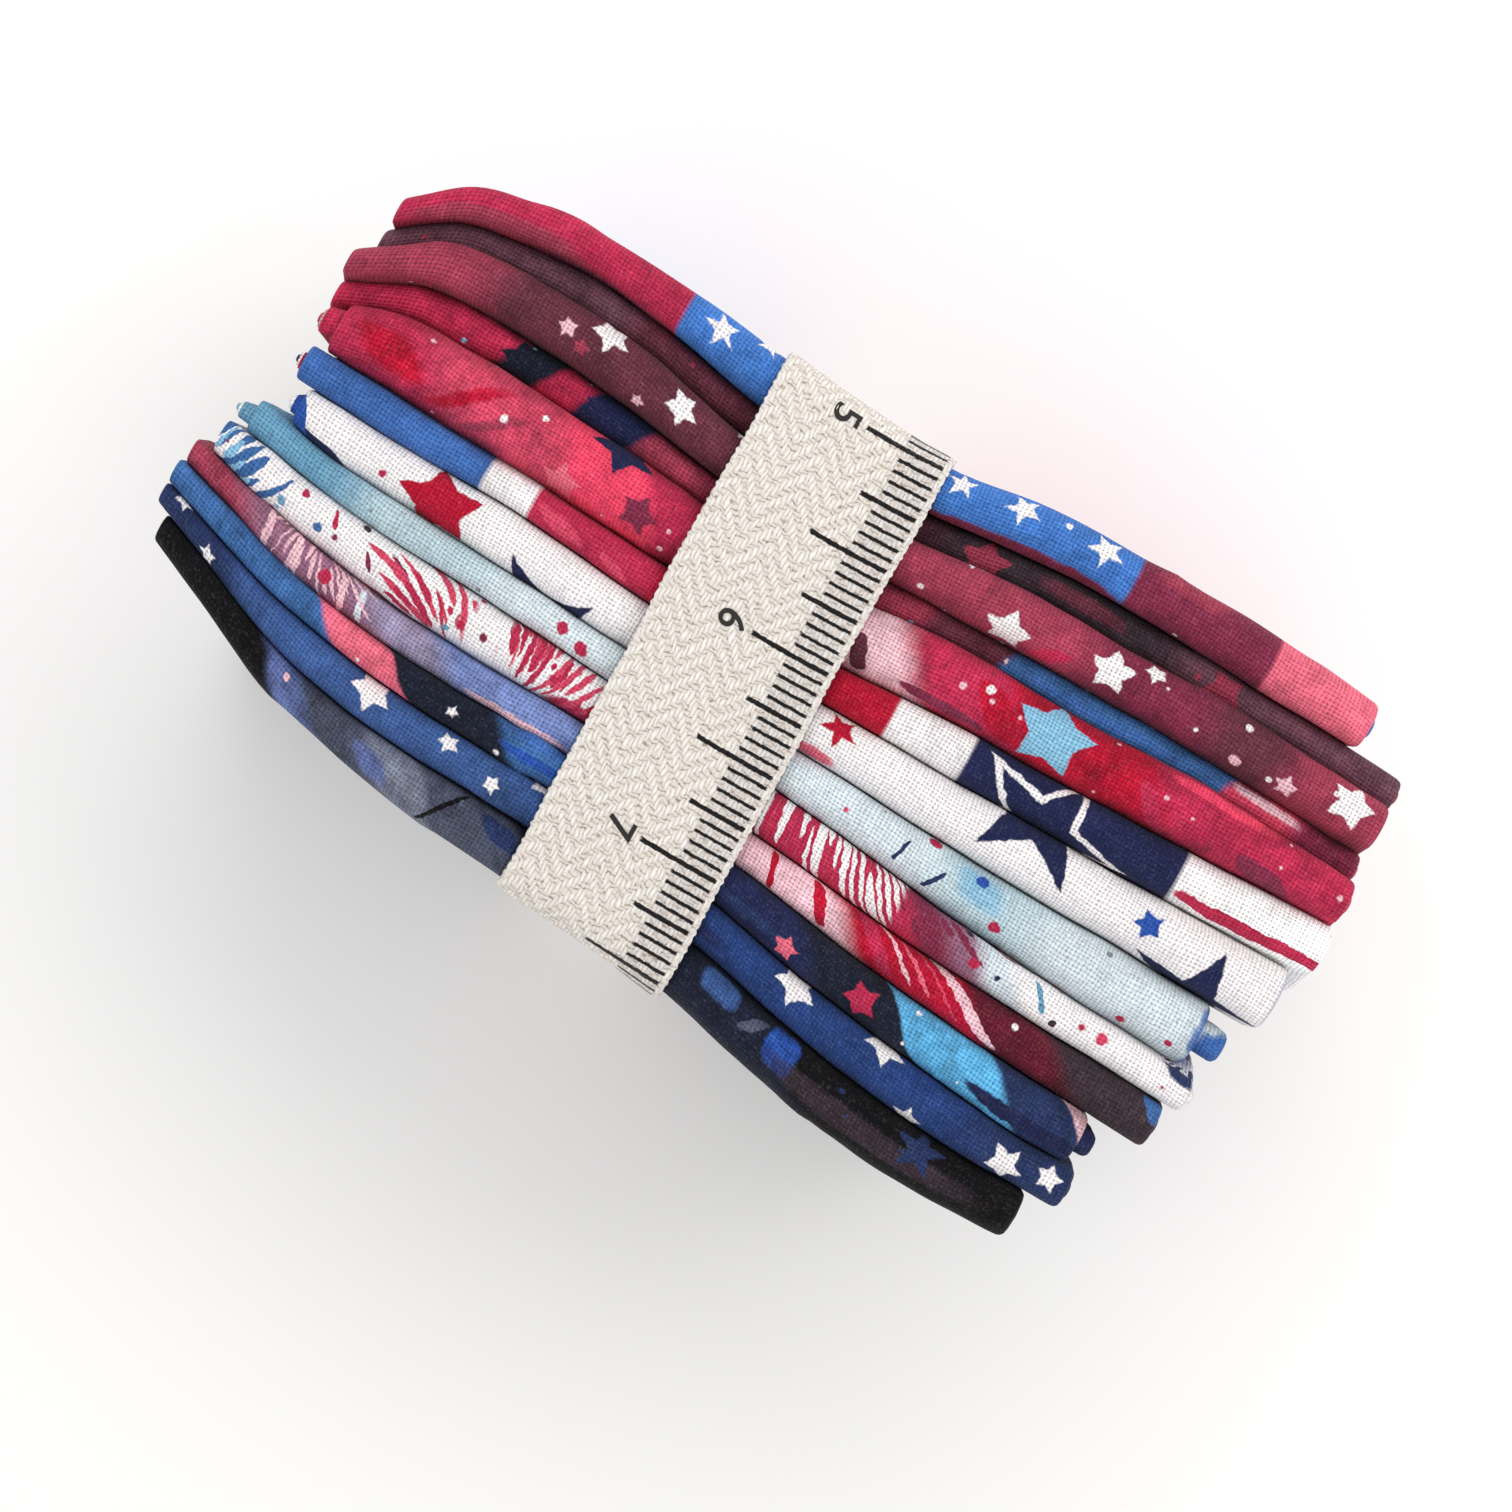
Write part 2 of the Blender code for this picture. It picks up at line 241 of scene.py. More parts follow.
def section(index, x, ply):
    """The folded section of one quarter at each (x, ply): points in Y and Z from the open edge in
    front, over the outer fold, down the back, round the bottom, up, over the inner fold and down.
    Ply 0 is the outermost of the four that run together."""
    x = x[:, None]
    ply = ply[:, None]

    def faces(z):
        return seam(index, x, z) - GAP / 2, seam(index + 1, x, z) + GAP / 2

    level_back, level_front = faces(np.full_like(x, FOLD_LEVEL))
    top = fold_top(index, x)
    height = np.minimum(FOLD_ROUNDNESS * (level_back - level_front) / 2, top - LOWEST_FOLD_BASE)
    base = top - height
    floor = CHANNEL_DEPTH * under_tape(x)

    def across(place, z):
        back, front = faces(z)
        return back - (back - front) * (place + 0.5) / PLIES

    def run(place, low, upward):
        """One pass at a place from 0 to 15 across the quarter, from its low edge to the fold."""
        share = np.linspace(0.0, 1.0, PASS_STEPS)[None, :] ** 0.7
        z = low + (base - low) * share
        if not upward:
            z = z[:, ::-1]
        return level_point(across(place, z), z)

    def top_fold(radius, steps, from_front):
        angle = np.linspace(0.0, math.pi, steps + 1)[1:-1][None, :]
        cosine, sine = rounded(angle)
        back, front = faces(base)
        side = -cosine if from_front else cosine
        y = (back + front) / 2 + side * (back - front) * radius / PLIES
        z = base + height * radius * 2 / PLIES * sine
        return level_point(y, z)

    pitch = (level_back - level_front) / PLIES
    low_fold = floor + 4 * pitch

    def bottom_fold(radius):
        angle = np.linspace(0.0, math.pi, BOTTOM_FOLD_STEPS + 1)[1:-1][None, :]
        back = across(3.5 - radius, low_fold)
        front = across(3.5 + radius, low_fold)
        y = (back + front) / 2 + np.cos(angle) * (back - front) / 2
        z = low_fold - radius * pitch * np.sin(angle)
        return level_point(y, z)

    open_edge = floor + OPEN_EDGE_LIFT + OPEN_EDGE_STEP * (ply + 1) * (1 + 0.5 * waves(x, 120 + index))
    parts = [
        run(15 - ply, open_edge, True),
        top_fold(7.5 - ply, OUTER_FOLD_STEPS, True),
        run(ply, low_fold, False),
        bottom_fold(3.5 - ply),
        run(7 - ply, low_fold, True),
        top_fold(0.5 + ply, INNER_FOLD_STEPS, False),
        run(8 + ply, open_edge, False),
    ]
    return np.concatenate(parts, axis=1)


# How far each step of a section belongs to the inner passes, which reach past the outer ones.
INNER_SHARE = np.concatenate([
    np.zeros(PASS_STEPS + OUTER_FOLD_STEPS - 1 + PASS_STEPS + BOTTOM_FOLD_STEPS - 1),
    np.linspace(0.1, 1.0, PASS_STEPS),
    np.ones(INNER_FOLD_STEPS - 1 + PASS_STEPS),
])
APEX_STEP = PASS_STEPS + (OUTER_FOLD_STEPS - 1) // 2


def outer_places(start, end):
    """Places along the outermost ply between its turns, closer together at the ends."""
    share = np.linspace(0.0, 1.0, OUTER_RUN_STEPS)
    return start + (end - start) * (share - END_EASE * np.sin(2 * math.pi * share))


def inner_places(start, end, outer):
    """Places along an inner ply: some of the outermost ply's, with all that lie beside the tape."""
    outer = np.sort(outer)
    on_ramp = np.zeros(len(outer), dtype=bool)
    off_tape = CHANNEL_MARGIN + CHANNEL_RAMP / 2
    for ramp in (TAPE_LEFT - off_tape, TAPE_RIGHT + off_tape):
        on_ramp |= np.abs(outer - ramp) < CHANNEL_RAMP / 2 + 1.2
    kept = on_ramp | (np.arange(len(outer)) % INNER_RUN_SHARE == 0)
    kept[[0, -1]] = False
    middle = outer[kept]
    if start > end:
        middle = middle[::-1]
    return np.concatenate([[start], middle, [end]])


def ply_path(index, side):
    """The cloth's path along its length, as x and ply. Side 1 is the printed face and -1 the
    reverse, each half a ply's thickness off the middle."""
    left = quarter_value(index, "left")
    right = quarter_value(index, "right")
    half = PLY_SHARE * side
    xs = []
    plies = []

    right_centre = right - 1.5 * END_PITCH
    left_centre = left + 0.5 * END_PITCH
    outer = outer_places(right_centre, left_centre)

    def run(ply, places):
        xs.append(places)
        plies.append(np.full(len(places), ply))

    def turn(centre, ply_centre, radius, direction, from_high):
        """A turn at one end: direction 1 bulges to the right, and from_high starts at the higher ply."""
        sweep = np.linspace(math.pi / 2, -math.pi / 2, TURN_STEPS + 1)[1:-1]
        if not from_high:
            sweep = -sweep
        xs.append(centre + direction * radius * END_PITCH * np.cos(sweep))
        plies.append(ply_centre + radius * np.sin(sweep))

    run(3 + half, inner_places(left + 0.5, right_centre, outer))
    turn(right_centre, 1.5, 1.5 + half, 1, True)
    run(0 - half, outer)
    turn(left_centre, 0.5, 0.5 + half, -1, False)
    run(1 + half, inner_places(left_centre, right_centre, outer))
    turn(right_centre, 1.5, 0.5 - half, 1, False)
    run(2 - half, inner_places(right_centre, left + 0.2, outer))
    outermost = len(xs[0]) + len(xs[1])
    return np.concatenate(xs), np.concatenate(plies), slice(outermost, outermost + OUTER_RUN_STEPS)


# Creases of the outermost ply, as soft ridges with a trough along them: the quarter, the place
# along X and across the cloth from the top of the fold, the length, the width, the turn in degrees
# (0 runs along the fold, 90 across it), the height before all are scaled, and the depth of the
# trough as a share of it.
CREASE_HEIGHT = 1.8
CREASE_WIDTH = 1.9
TROUGH_WIDTH = 0.8
DEEPEST_DENT = -0.04
CREASE_COLUMNS = ("quarter", "x", "w", "length", "width", "turn", "height", "trough")
CREASES = (
    (1, -50.0, 1.5, 14.0, 1.6, 12, 0.30, 0.8), (1, -41.0, -1.0, 10.0, 1.8, -20, 0.28, 0.7),
    (1, 33.5, 1.0, 7.0, 1.6, 60, 0.32, 0.9), (1, 36.5, -1.5, 6.0, 1.6, 115, 0.28, 0.8),
    (1, 55.0, 0.5, 9.0, 2.0, 20, 0.20, 0.5), (2, -30.5, 0.0, 6.0, 1.5, 70, 0.25, 0.8),
    (2, 43.0, 0.5, 8.0, 1.8, 30, 0.22, 0.6), (3, -50.0, 0.0, 12.0, 1.8, 15, 0.30, 0.7),
    (3, -26.0, 0.5, 8.0, 1.6, 65, 0.28, 0.8), (3, 45.0, 0.0, 12.0, 2.2, 35, 0.25, 0.5),
    (3, 12.0, 0.0, 6.0, 1.6, 75, 0.22, 0.7), (4, -46.0, 0.0, 8.0, 1.8, 10, 0.22, 0.6),
    (5, -47.0, 0.5, 8.0, 1.7, 60, 0.32, 0.9), (5, -52.0, -1.5, 7.0, 1.6, 35, 0.26, 0.8),
    (5, -38.5, 1.5, 8.0, 1.8, 125, 0.25, 0.7), (5, 22.0, 0.5, 9.0, 1.7, 55, 0.30, 0.9),
    (5, 44.0, 1.0, 7.0, 1.8, 110, 0.24, 0.7), (5, 59.5, 0.5, 10.0, 1.7, 40, 0.32, 0.9),
    (6, -45.0, 0.0, 16.0, 1.8, 5, 0.24, 0.7), (6, 37.5, 0.0, 5.0, 1.5, 70, 0.20, 0.8),
    (6, 58.0, 0.8, 12.0, 1.8, -8, 0.25, 0.7), (7, -52.0, 0.8, 9.0, 1.8, 20, 0.25, 0.6),
    (7, -19.0, 0.5, 7.0, 2.0, 60, 0.16, 0.5), (7, 57.0, 1.0, 9.0, 1.8, -30, 0.26, 0.7),
    (8, -45.0, 0.3, 18.0, 1.5, 3, 0.22, 0.8), (8, 57.0, -0.5, 8.0, 1.8, 70, 0.16, 0.5),
    (9, -57.0, 0.0, 8.0, 1.8, 30, 0.26, 0.7), (9, 34.0, 0.5, 10.0, 1.8, 35, 0.20, 0.6),
    (10, -52.0, 0.0, 14.0, 1.6, 10, 0.26, 0.7), (10, -17.5, 0.8, 8.0, 1.6, 30, 0.28, 0.9),
    (10, 39.0, 0.0, 10.0, 1.9, 30, 0.22, 0.6), (10, 57.0, 0.0, 8.0, 1.7, 55, 0.28, 0.8),
    (11, -17.5, 0.5, 7.0, 1.5, 25, 0.32, 0.9), (11, -16.0, -1.0, 6.0, 1.5, -15, 0.28, 0.8),
    (11, 34.5, 0.5, 7.0, 1.6, 65, 0.28, 0.8), (11, 48.0, 1.2, 10.0, 1.8, 10, 0.26, 0.7),
    (12, -17.0, 0.0, 7.0, 1.6, 20, 0.28, 0.8), (12, 37.5, -0.5, 6.0, 1.5, 60, 0.32, 1.0),
    (12, 46.0, 0.0, 10.0, 1.9, 15, 0.22, 0.6), (13, -25.0, 1.0, 7.0, 1.6, 125, 0.34, 1.0),
    (13, -46.0, 1.0, 9.0, 1.6, 30, 0.28, 0.8), (13, 14.5, 1.0, 7.0, 1.7, 120, 0.32, 0.9),
    (13, 28.0, 2.0, 9.0, 1.9, 60, 0.26, 0.8), (13, -22.0, 48.0, 70.0, 2.6, 84, 0.30, 0.5),
    (13, 16.5, 60.0, 60.0, 2.6, 97, 0.30, 0.5), (1, -24.0, -55.0, 64.0, 2.6, 95, 0.30, 0.5),
    (1, 18.0, -48.0, 60.0, 2.6, 86, 0.30, 0.5),
)


def rows_of(table, columns, quarter):
    return [dict(zip(columns, row)) for row in table if row[0] == quarter]


def crease_relief(quarter, cloth):
    """How far the creases lift the printed face at each place of the cloth."""
    relief = np.zeros(cloth.shape[:2])
    for crease in rows_of(CREASES, CREASE_COLUMNS, quarter):
        angle = math.radians(crease["turn"])
        dx = cloth[..., 0] - crease["x"]
        dw = cloth[..., 1] - crease["w"]
        along = np.abs(dx * math.cos(angle) + dw * math.sin(angle)) / (crease["length"] / 2)
        across = (dw * math.cos(angle) - dx * math.sin(angle)) / crease["width"]
        trough = crease["trough"] * np.exp(-(across / TROUGH_WIDTH) ** 2)
        swell = np.exp(-(across / CREASE_WIDTH) ** 2) - trough
        relief += CREASE_HEIGHT * crease["height"] * swell * (1 - smoothstep(along, 0.35, 1.1))
    return np.maximum(relief, DEEPEST_DENT)


# Heights from the highest point of a fold: its neighbours hold the cloth below the first, and it is
# free of them above the second.
HELD_BELOW = -3.0
FREE_ABOVE = -1.2


def lifted(quarter, points, cloth, relief):
    """The grid's points moved outward by the relief, where no neighbour lies against them."""
    normal = np.cross(np.gradient(points, axis=1), np.gradient(points, axis=0))
    normal /= np.linalg.norm(normal, axis=2, keepdims=True) + 1e-12
    top = points[..., 2].max(axis=1, keepdims=True)
    free = smoothstep(points[..., 2] - top, HELD_BELOW, FREE_ABOVE)
    if quarter == 1:
        free = np.where(cloth[..., 1] < 0, 1.0, free)
    if quarter == QUARTER_COUNT:
        free = np.where(cloth[..., 1] > 0, 1.0, free)
    return points + normal * (relief * free)[..., None]


def cloth_grid(index, side):
    """Points and cloth coordinates of one face of a quarter's cloth."""
    x, ply, outermost = ply_path(index, side)
    yz = section(index, x, ply)
    left = quarter_value(index, "left")
    right = quarter_value(index, "right")
    reach = quarter_value(index, "inner_left")
    reach = reach + (quarter_value(index, "inner_right") - reach) * (x - left) / (right - left)
    shifted = x[:, None] + reach[:, None] * INNER_SHARE[None, :]
    points = np.empty((len(x), yz.shape[1], 3))
    points[..., 0] = shifted
    points[..., 1:] = yz
    steps = np.linalg.norm(np.diff(yz, axis=1), axis=2)
    along_v = np.concatenate([np.zeros((len(x), 1)), np.cumsum(steps, axis=1)], axis=1)
    along_v = along_v[:, APEX_STEP:APEX_STEP + 1] - along_v
    travel = running_total(np.hypot(np.diff(x), np.diff(ply) * PLY_PITCH))
    along_u = x[outermost.start] - (travel - travel[outermost.start])
    cloth = np.stack([np.broadcast_to(along_u[:, None], along_v.shape), along_v], axis=-1)
    if side == 1:
        beside_tape = np.zeros(len(x))
        beside_tape[outermost] = 1 - under_tape(x[outermost])
        relief = crease_relief(index + 1, cloth) * beside_tape[:, None]
        points = lifted(index + 1, points, cloth, relief)
    return points, cloth, outermost


# How much more of the texture's room the outermost ply gets, and the cloth near the top of its fold.
OUTER_PLY_ROOM = 6.0
FOLD_ROOM = 3.0
FOLD_REACH = 14.0


def bake_places(cloth, outermost):
    """Where the cloth's grid lies in its texture: the outermost ply and its fold get the most room."""
    middle = cloth[(outermost.start + outermost.stop) // 2]
    u_steps = np.abs(np.diff(cloth[:, 0, 0]))
    u_weight = np.ones(len(u_steps))
    u_weight[outermost.start:outermost.stop - 1] = OUTER_PLY_ROOM
    v_middle = (middle[1:, 1] + middle[:-1, 1]) / 2
    v_steps = np.abs(np.diff(middle[:, 1]))
    v_weight = np.where(np.abs(v_middle) < FOLD_REACH, FOLD_ROOM, 1.0)
    return spread(u_steps * u_weight), spread(v_steps * v_weight)


def to_row(points):
    """Level millimetres to the frame's metres."""
    moved = points - np.array([MIDDLE_X, MIDDLE_Y, 0.0])
    return moved * MM


def new_object(name, data):
    added = bpy.data.objects.new(name, data)
    bpy.context.scene.collection.objects.link(added)
    return added


def new_mesh_object(name, vertices, faces):
    mesh = bpy.data.meshes.new(name)
    mesh.from_pydata([tuple(v) for v in vertices], [], [tuple(f) for f in faces])
    return new_object(name, mesh)


def grid_faces(rows, columns, offset, flipped):
    i, j = np.meshgrid(np.arange(rows - 1), np.arange(columns - 1), indexing="ij")
    corner = (offset + i * columns + j).ravel()
    quads = np.stack([corner, corner + 1, corner + columns + 1, corner + columns], axis=1)
    return quads[:, ::-1] if flipped else quads


def rim_faces(rows, columns, offset):
    """Faces between the two skins along the four edges of the grid."""
    top = np.arange(columns - 1)
    side = np.arange(rows - 1) * columns
    last = (rows - 1) * columns
    strips = [
        np.stack([top, top + offset, top + 1 + offset, top + 1], axis=1),
        np.stack([last + top + 1, last + top + 1 + offset, last + top + offset, last + top], axis=1),
        np.stack([side + columns, side + columns + offset, side + offset, side], axis=1),
        np.stack([
            side + columns - 1,
            side + columns - 1 + offset,
            side + 2 * columns - 1 + offset,
            side + 2 * columns - 1,
        ], axis=1),
    ]
    return np.concatenate(strips)


# How the texture is shared out: the printed skin on the left, the reverse skin beside it, and the
# rims in a strip along the top.
PRINTED_TO = 0.72
REVERSE_FROM = 0.73
REVERSE_TO = 0.99
SKIN_TOP = 0.985
RIM_LOW = 0.990
RIM_HIGH = 0.998


def add_cloth_layers(mesh, cloths, places):
    """Cloth coordinates, the texture layout, and which faces are the reverse side."""
    u, v = np.meshgrid(*places, indexing="ij")
    printed = np.stack([u * PRINTED_TO, v * SKIN_TOP], axis=-1)
    reverse = np.stack([REVERSE_FROM + u * (REVERSE_TO - REVERSE_FROM), v * SKIN_TOP], axis=-1)
    layout = np.concatenate([printed.reshape(-1, 2), reverse.reshape(-1, 2)])
    cloth_points = np.concatenate([cloth.reshape(-1, 2) for cloth in cloths])
    count = u.size
    corners = np.empty(len(mesh.loops), dtype=np.int32)
    mesh.loops.foreach_get("vertex_index", corners)
    bake = mesh.uv_layers.new(name="OFBake")
    coordinates = layout[corners]
    face_corners = corners.reshape(-1, 4)
    on_rim = (face_corners < count).any(axis=1) & (face_corners >= count).any(axis=1)
    rim = coordinates.reshape(-1, 4, 2)
    rim_corners = face_corners[on_rim]
    rim[on_rim, :, 0] = (rim_corners % count) / count
    rim[on_rim, :, 1] = np.where(rim_corners >= count, RIM_HIGH, RIM_LOW)
    bake.data.foreach_set("uv", rim.reshape(-1))
    flat = mesh.uv_layers.new(name="Cloth")
    flat.data.foreach_set("uv", cloth_points[corners].reshape(-1))
    side = mesh.attributes.new("reverse", "FLOAT", "POINT")
    side.data.foreach_set("value", np.repeat([0.0, 1.0], count))
    mesh.uv_layers.active = bake
    bake.active_render = True


def build_cloth(name, node, skins, cloths, places):
    """One cloth piece in place of a solid: its printed and reverse skins, and the rim between them."""
    rows, columns = skins[0].shape[:2]
    offset = rows * columns
    vertices = np.concatenate([to_row(skin).reshape(-1, 3) for skin in skins])
    faces = np.concatenate([
        grid_faces(rows, columns, 0, False),
        grid_faces(rows, columns, offset, True),
        rim_faces(rows, columns, offset),
    ])
    piece = new_mesh_object(name, vertices, faces)
    piece.data.shade_smooth()
    add_cloth_layers(piece.data, cloths, places)
    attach(piece, "root")
    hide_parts(node)
    return piece


def build_quarter(index):
    node = f"quarter_{index + 1:02d}"
    face, cloth, outermost = cloth_grid(index, 1)
    reverse, reverse_cloth, _ = cloth_grid(index, -1)
    places = bake_places(cloth, outermost)
    piece = build_cloth(f"cloth_{node}", node, (face, reverse), (cloth, reverse_cloth), places)
    return piece


quarters = [build_quarter(index) for index in range(QUARTER_COUNT)]


# The tape: once round the stack, pulled straight over the folds.

TAPE_COLUMNS = 36
TAPE_LOOP_POINTS = 2400
TAPE_TOP_STEP = 0.42
TAPE_SIDE_STEP = 1.2
TAPE_FINE_FROM = 58.0
TAPE_FINE_TO = 146.0
TAPE_SKEW = 0.6
TAPE_SEEN_REACH = 44.0
TAPE_LAP_GAP = 0.25
EDGE_THINNESS = 0.28
SCALLOP = 0.11
SCALLOP_PITCH = 1.05
TAPE_RIPPLE = 0.06
TAPE_LEAN = 0.25


def hull(points):
    """The convex hull of points in Y and Z, counter-clockwise."""
    ordered = sorted(map(tuple, points))

    def chain(sequence):
        kept = []
        for point in sequence:
            while len(kept) > 1:
                (ay, az), (by, bz) = kept[-2:]
                if (by - ay) * (point[1] - az) - (bz - az) * (point[0] - ay) > 0:
                    break
                kept.pop()
            kept.append(point)
        return kept[:-1]

    return np.array(chain(ordered) + chain(ordered[::-1]))


def path_points(places, travel, points):
    """Points in Y and Z at places along a path, by the distance travelled."""
    return np.stack([np.interp(places, travel, points[:, axis]) for axis in (0, 1)], axis=1)


def tape_loop(x):
    """The middle of the tape's thickness at x: a closed loop from low on the back face, upward."""
    outer = []
    for index in range(QUARTER_COUNT):
        points = section(index, np.array([x]), np.array([-PLY_SHARE]))[0]
        outer.append(points[:2 * PASS_STEPS + OUTER_FOLD_STEPS])
        outer.append(points[[0, -1]] * np.array([1.0, 0.0]) + np.array([0.0, CHANNEL_DEPTH]))
    angle = np.linspace(0, 2 * math.pi, 48, endpoint=False)
    reach = TAPE_CLEARANCE + TAPE_THICKNESS / 2
    circle = reach * np.stack([np.cos(angle), np.sin(angle)], axis=1)
    around = hull(np.concatenate(outer))
    around = hull((around[:, None, :] + circle[None, :, :]).reshape(-1, 2))
    closed = np.concatenate([around, around[:1]])
    length = running_total(np.linalg.norm(np.diff(closed, axis=0), axis=1))
    dense = path_points(np.linspace(0.0, length[-1], TAPE_LOOP_POINTS, endpoint=False), length, closed)
    on_back = np.where(dense[:, 0] > 0, np.abs(dense[:, 1] - LAP_START), 1e9)
    return np.roll(dense, -int(np.argmin(on_back)), axis=0), length[-1]


def tape_grid():
    """The tape's outer and inner faces, and its cloth coordinates: X, and the distance along the
    tape from the middle of the stack."""
    xs = np.linspace(TAPE_LEFT, TAPE_RIGHT, TAPE_COLUMNS)
    knots = np.linspace(TAPE_LEFT, TAPE_RIGHT, 7)
    loops = [tape_loop(x) for x in knots]
    around = float(np.mean([length for _, length in loops]))
    end = around + LAP_END - LAP_START
    before = np.arange(0.0, TAPE_FINE_FROM, TAPE_SIDE_STEP)
    fine = np.arange(TAPE_FINE_FROM, TAPE_FINE_TO, TAPE_TOP_STEP)
    after = np.arange(TAPE_FINE_TO, end, TAPE_SIDE_STEP)
    along = np.concatenate([before, fine, after])
    share = (along / around * TAPE_LOOP_POINTS) % TAPE_LOOP_POINTS
    whole = np.arange(TAPE_LOOP_POINTS + 1)
    columns = np.array([
        path_points(share, whole, np.concatenate([loop, loop[:1]])) for loop, _ in loops])
    middle = np.empty((len(xs), len(along), 2))
    for axis in (0, 1):
        for step in range(len(along)):
            middle[:, step, axis] = np.interp(xs, knots, columns[:, step, axis])
    tangent = np.gradient(middle, axis=1)
    tangent /= np.linalg.norm(tangent, axis=2, keepdims=True)
    normal = np.stack([tangent[..., 1], -tangent[..., 0]], axis=2)
    lap_from = around - (LAP_START - LAP_RAMP_LOW)
    lap_to = around - (LAP_START - LAP_RAMP_HIGH)
    lift = smoothstep(along, lap_from, lap_to) * (TAPE_THICKNESS + TAPE_LAP_GAP)
    edge = np.minimum(xs - TAPE_LEFT, TAPE_RIGHT - xs)
    half = TAPE_THICKNESS / 2 * (1 - EDGE_THINNESS + EDGE_THINNESS * smoothstep(edge, 0.0, 1.0))
    ripple = TAPE_RIPPLE * waves(along * 1.7, 201)[None, :] * np.cos(xs / 3.4)[:, None]
    offset = lift[None, :] + np.maximum(ripple, -0.05)
    outer = middle + normal * (offset + half[:, None])[..., None]
    inner = middle + normal * (offset - half[:, None])[..., None]
    scallop = SCALLOP * np.sin(2 * math.pi * along / SCALLOP_PITCH)
    scallop = scallop * (1 - smoothstep(edge, 0.0, 0.6))[:, None]
    lean = TAPE_LEAN * waves(along, 203, 14.0)[None, :]
    outward = np.sign(xs - (TAPE_LEFT + TAPE_RIGHT) / 2)[:, None]
    on_folds = smoothstep(along, 50.0, 66.0) * (1 - smoothstep(along, 134.0, 150.0))
    x_places = xs[:, None] + scallop * outward + lean * on_folds[None, :]
    points = [np.concatenate([x_places[..., None], face], axis=2) for face in (outer, inner)]
    on_top = middle[len(xs) // 2, :, 1] > 0.9 * STACK_HEIGHT
    zeros = [np.interp(0.0, -column[on_top, 0], along[on_top]) for column in middle]
    zero = np.mean(zeros) + TAPE_SKEW * np.polyfit(xs, zeros, 1)[0] * (xs - np.mean(xs))
    cloth = np.stack(np.broadcast_arrays(xs[:, None], along[None, :] - zero[:, None]), axis=-1)
    return points, cloth, along


def build_tape():
    skins, cloth, along = tape_grid()
    weight = np.where(np.abs(cloth[0, 1:, 1]) < TAPE_SEEN_REACH, FOLD_ROOM, 1.0)
    places = (spread(np.ones(TAPE_COLUMNS - 1)), spread(np.diff(along) * weight))
    piece = build_cloth("twill_ruler_tape", "ruler_tape", skins, (cloth, cloth), places)
    return piece, skins[0], cloth


tape, tape_face, tape_cloth = build_tape()


# Materials. Prints are drawn in the cloth's own millimetres: x along the folds and w across them
# from the top of the outer fold, towards the front.

class Term:
    """A node's output, with arithmetic that adds more nodes."""

    def __init__(self, graph, socket):
        self.graph = graph
        self.socket = socket

    def __abs__(self):
        return self.graph.math("ABSOLUTE", self)


def sign_methods(operation):
    """The two methods of a sign, for a term on its left and on its right."""

    def term_first(term, other):
        return term.graph.math(operation, term, other)

    def term_last(term, other):
        return term.graph.math(operation, other, term)

    return term_first, term_last


Term.__add__, Term.__radd__ = sign_methods("ADD")
Term.__sub__, Term.__rsub__ = sign_methods("SUBTRACT")
Term.__mul__, Term.__rmul__ = sign_methods("MULTIPLY")
Term.__truediv__, Term.__rtruediv__ = sign_methods("DIVIDE")
Term.__pow__, Term.__rpow__ = sign_methods("POWER")


